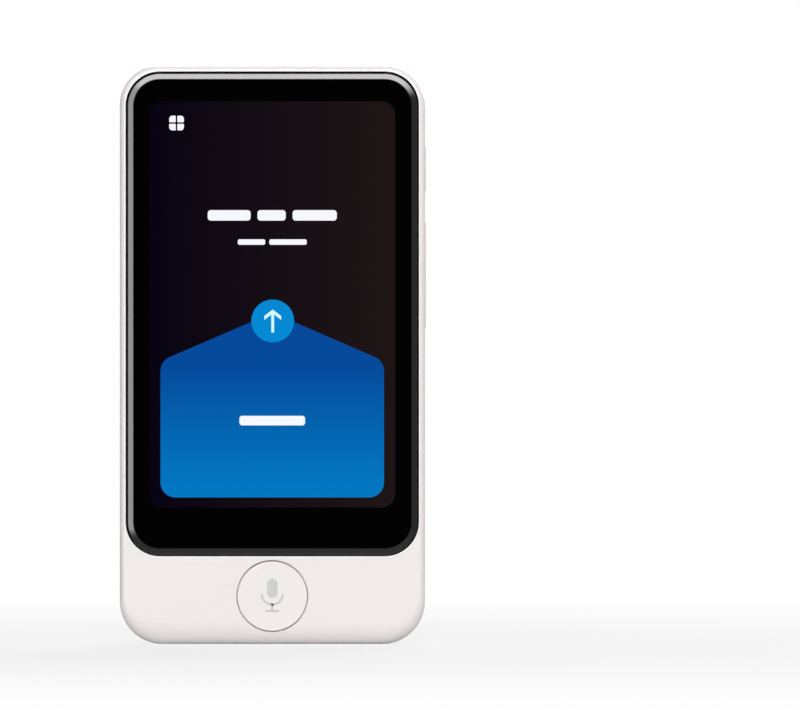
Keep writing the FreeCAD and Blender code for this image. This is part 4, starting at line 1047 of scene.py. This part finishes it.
# %% Socket contacts
CONTACTS = 12
CONTACT_PITCH = 0.5 * MM
CONTACT_SIZE = (0.26 * MM, 0.04 * MM, 3.6 * MM)
TONGUE_HALF = 0.35 * MM
CONTACT_SETBACK = 0.3 * MM
TONGUE_FACES = 2

tongue_low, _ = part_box("usb_tongue")
socket_low, socket_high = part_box("usb_socket")
socket_middle = (socket_low + socket_high) / 2
first_contact = (
    socket_middle.x - CONTACT_PITCH * (CONTACTS - 1) / 2,
    socket_middle.y - TONGUE_HALF,
    tongue_low.z + CONTACT_SIZE[2] / 2 + CONTACT_SETBACK,
)
contacts = Pattern("socket_contacts", {
    "Count": ("Int", CONTACTS),
    "Pitch": ("Vector", (CONTACT_PITCH, 0.0, 0.0)),
    "Size": ("Vector", CONTACT_SIZE),
    "Start": ("Vector", first_contact),
    "Faces": ("Int", TONGUE_FACES),
    "Other face": ("Vector", (0.0, TONGUE_HALF * 2, 0.0)),
})
given = contacts.given
strip = contacts.node("GeometryNodeMeshCube", {}, {"Size": given["Size"]})
front_row = contacts.row(strip, given["Count"], given["Pitch"], given["Start"])
both_rows = contacts.row(front_row, given["Faces"], given["Other face"])
contacts.kept(both_rows, gold_plate)

# %% [markdown]
# Cloth behind the side holes
#
# Behind each row of small holes lies a fine black cloth that keeps dust out of the speaker. It
# is woven on the real unit. Only its grid shows through the holes, so here it is one row of
# upright threads behind one row of level threads.

# %% Speaker cloth
THREAD = 0.09 * MM
THREAD_PITCH = 0.2 * MM
CLOTH_INSET = 0.55 * MM
CLOTH_SETBACK = 0.15 * MM
thread_black = make_dull("thread_black", linear(30, 30, 31), 0.75)


def speaker_cloth(name, node, side):
    """A grid of threads just inside the wall, across the speaker's mouth."""
    low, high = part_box(node)
    wall = (high.x if side > 0 else low.x) - side * CLOTH_SETBACK
    deep = high.y - low.y - CLOTH_INSET * 2
    tall = high.z - low.z - CLOTH_INSET * 2
    middle = (low + high) / 2
    level_count = int(tall / THREAD_PITCH)
    upright_count = int(deep / THREAD_PITCH)
    cloth = Pattern(name, {
        "Level threads": ("Int", level_count),
        "Upright threads": ("Int", upright_count),
        "Level size": ("Vector", (THREAD, deep, THREAD)),
        "Upright size": ("Vector", (THREAD, THREAD, tall)),
        "Rise": ("Vector", (0.0, 0.0, THREAD_PITCH)),
        "Step": ("Vector", (0.0, THREAD_PITCH, 0.0)),
        "First level": ("Vector", (wall, middle.y, middle.z - THREAD_PITCH * (level_count - 1) / 2)),
        "First upright": (
            "Vector",
            (wall - side * THREAD, middle.y - THREAD_PITCH * (upright_count - 1) / 2, middle.z),
        ),
    })
    given = cloth.given
    level_thread = cloth.node("GeometryNodeMeshCube", {}, {"Size": given["Level size"]})
    upright_thread = cloth.node("GeometryNodeMeshCube", {}, {"Size": given["Upright size"]})
    levels = cloth.row(level_thread, given["Level threads"], given["Rise"], given["First level"])
    uprights = cloth.row(upright_thread, given["Upright threads"], given["Step"], given["First upright"])
    both = cloth.tree.nodes.new("GeometryNodeJoinGeometry")
    cloth.tree.links.new(levels, both.inputs[0])
    cloth.tree.links.new(uprights, both.inputs[0])
    cloth.kept(both.outputs[0], thread_black)


speaker_cloth("speaker_cloth_left", "speaker_left", -1)
speaker_cloth("speaker_cloth_right", "speaker_right", 1)

# %% [markdown]
# The bead round the screen
#
# Where the white frame meets the black rim it has a narrow bead, left by the mould. Its whiter
# colour than the frame is a painted highlight, for the light that this edge catches. The bead
# follows a rounded rectangle, so a curve gives the path, a circle swept along it gives a tube,
# and the tube is then pressed flat and stood upright.

# %% Bead round the screen
BEAD_HALF = 0.17 * MM
BEAD_FLATNESS = 0.32
BEAD_EDGE = 0.05 * MM
BEAD_LEVEL = -5.4 * MM
BEAD_SIDES = 12
BEAD_ARC_STEPS = 20
RIM_CORNER = 7.5 * MM

rim_low, rim_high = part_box("screen_bezel")
# Painted highlight: the bead is a brighter white than the frame, standing in for the light on its edge.
bead_painted_highlight = make_shell_plastic("bead_painted_highlight", linear(252, 250, 250), BEAD_EDGE)
bead = Pattern("screen_bead", {
    "Width": ("Float", rim_high.x - rim_low.x + BEAD_HALF * 2),
    "Height": ("Float", rim_high.z - rim_low.z + BEAD_HALF * 2),
    "Corner": ("Float", RIM_CORNER + BEAD_HALF),
    "Corner steps": ("Int", BEAD_ARC_STEPS),
    "Half width": ("Float", BEAD_HALF),
    "Sides": ("Int", BEAD_SIDES),
    "Flatness": ("Vector", (1.0, 1.0, BEAD_FLATNESS)),
    "Centre": ("Vector", (0.0, BEAD_LEVEL, (rim_low.z + rim_high.z) / 2)),
})
given = bead.given
frame_path = bead.node(
    "GeometryNodeCurvePrimitiveQuadrilateral", {}, {"Width": given["Width"], "Height": given["Height"]}
)
path = bead.node(
    "GeometryNodeFilletCurve",
    {"mode": "POLY"},
    {"Curve": frame_path, "Count": given["Corner steps"], "Radius": given["Corner"]},
)
circle = bead.node(
    "GeometryNodeCurvePrimitiveCircle", {}, {"Resolution": given["Sides"], "Radius": given["Half width"]}
)
tube = bead.node("GeometryNodeCurveToMesh", {}, {"Curve": path, "Profile Curve": circle})
flat = bead.node("GeometryNodeTransform", {}, {"Geometry": tube, "Scale": given["Flatness"]})
upright = bead.node(
    "GeometryNodeTransform",
    {},
    {"Geometry": flat, "Rotation": (math.radians(90), 0.0, 0.0), "Translation": given["Centre"]},
)
bead.kept(upright, bead_painted_highlight)

# %% [markdown]
# Last look at the sizes
#
# The dressing must not change the unit's size. The two boxes, of the solids and of the dressed
# unit, are compared, and how much the unit grew is printed.

# %% Print how much the sizes grew
low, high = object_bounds()
print("grown by in mm:", [round(value / MM, 3) for value in (high - low) - (cad_high - cad_low)])
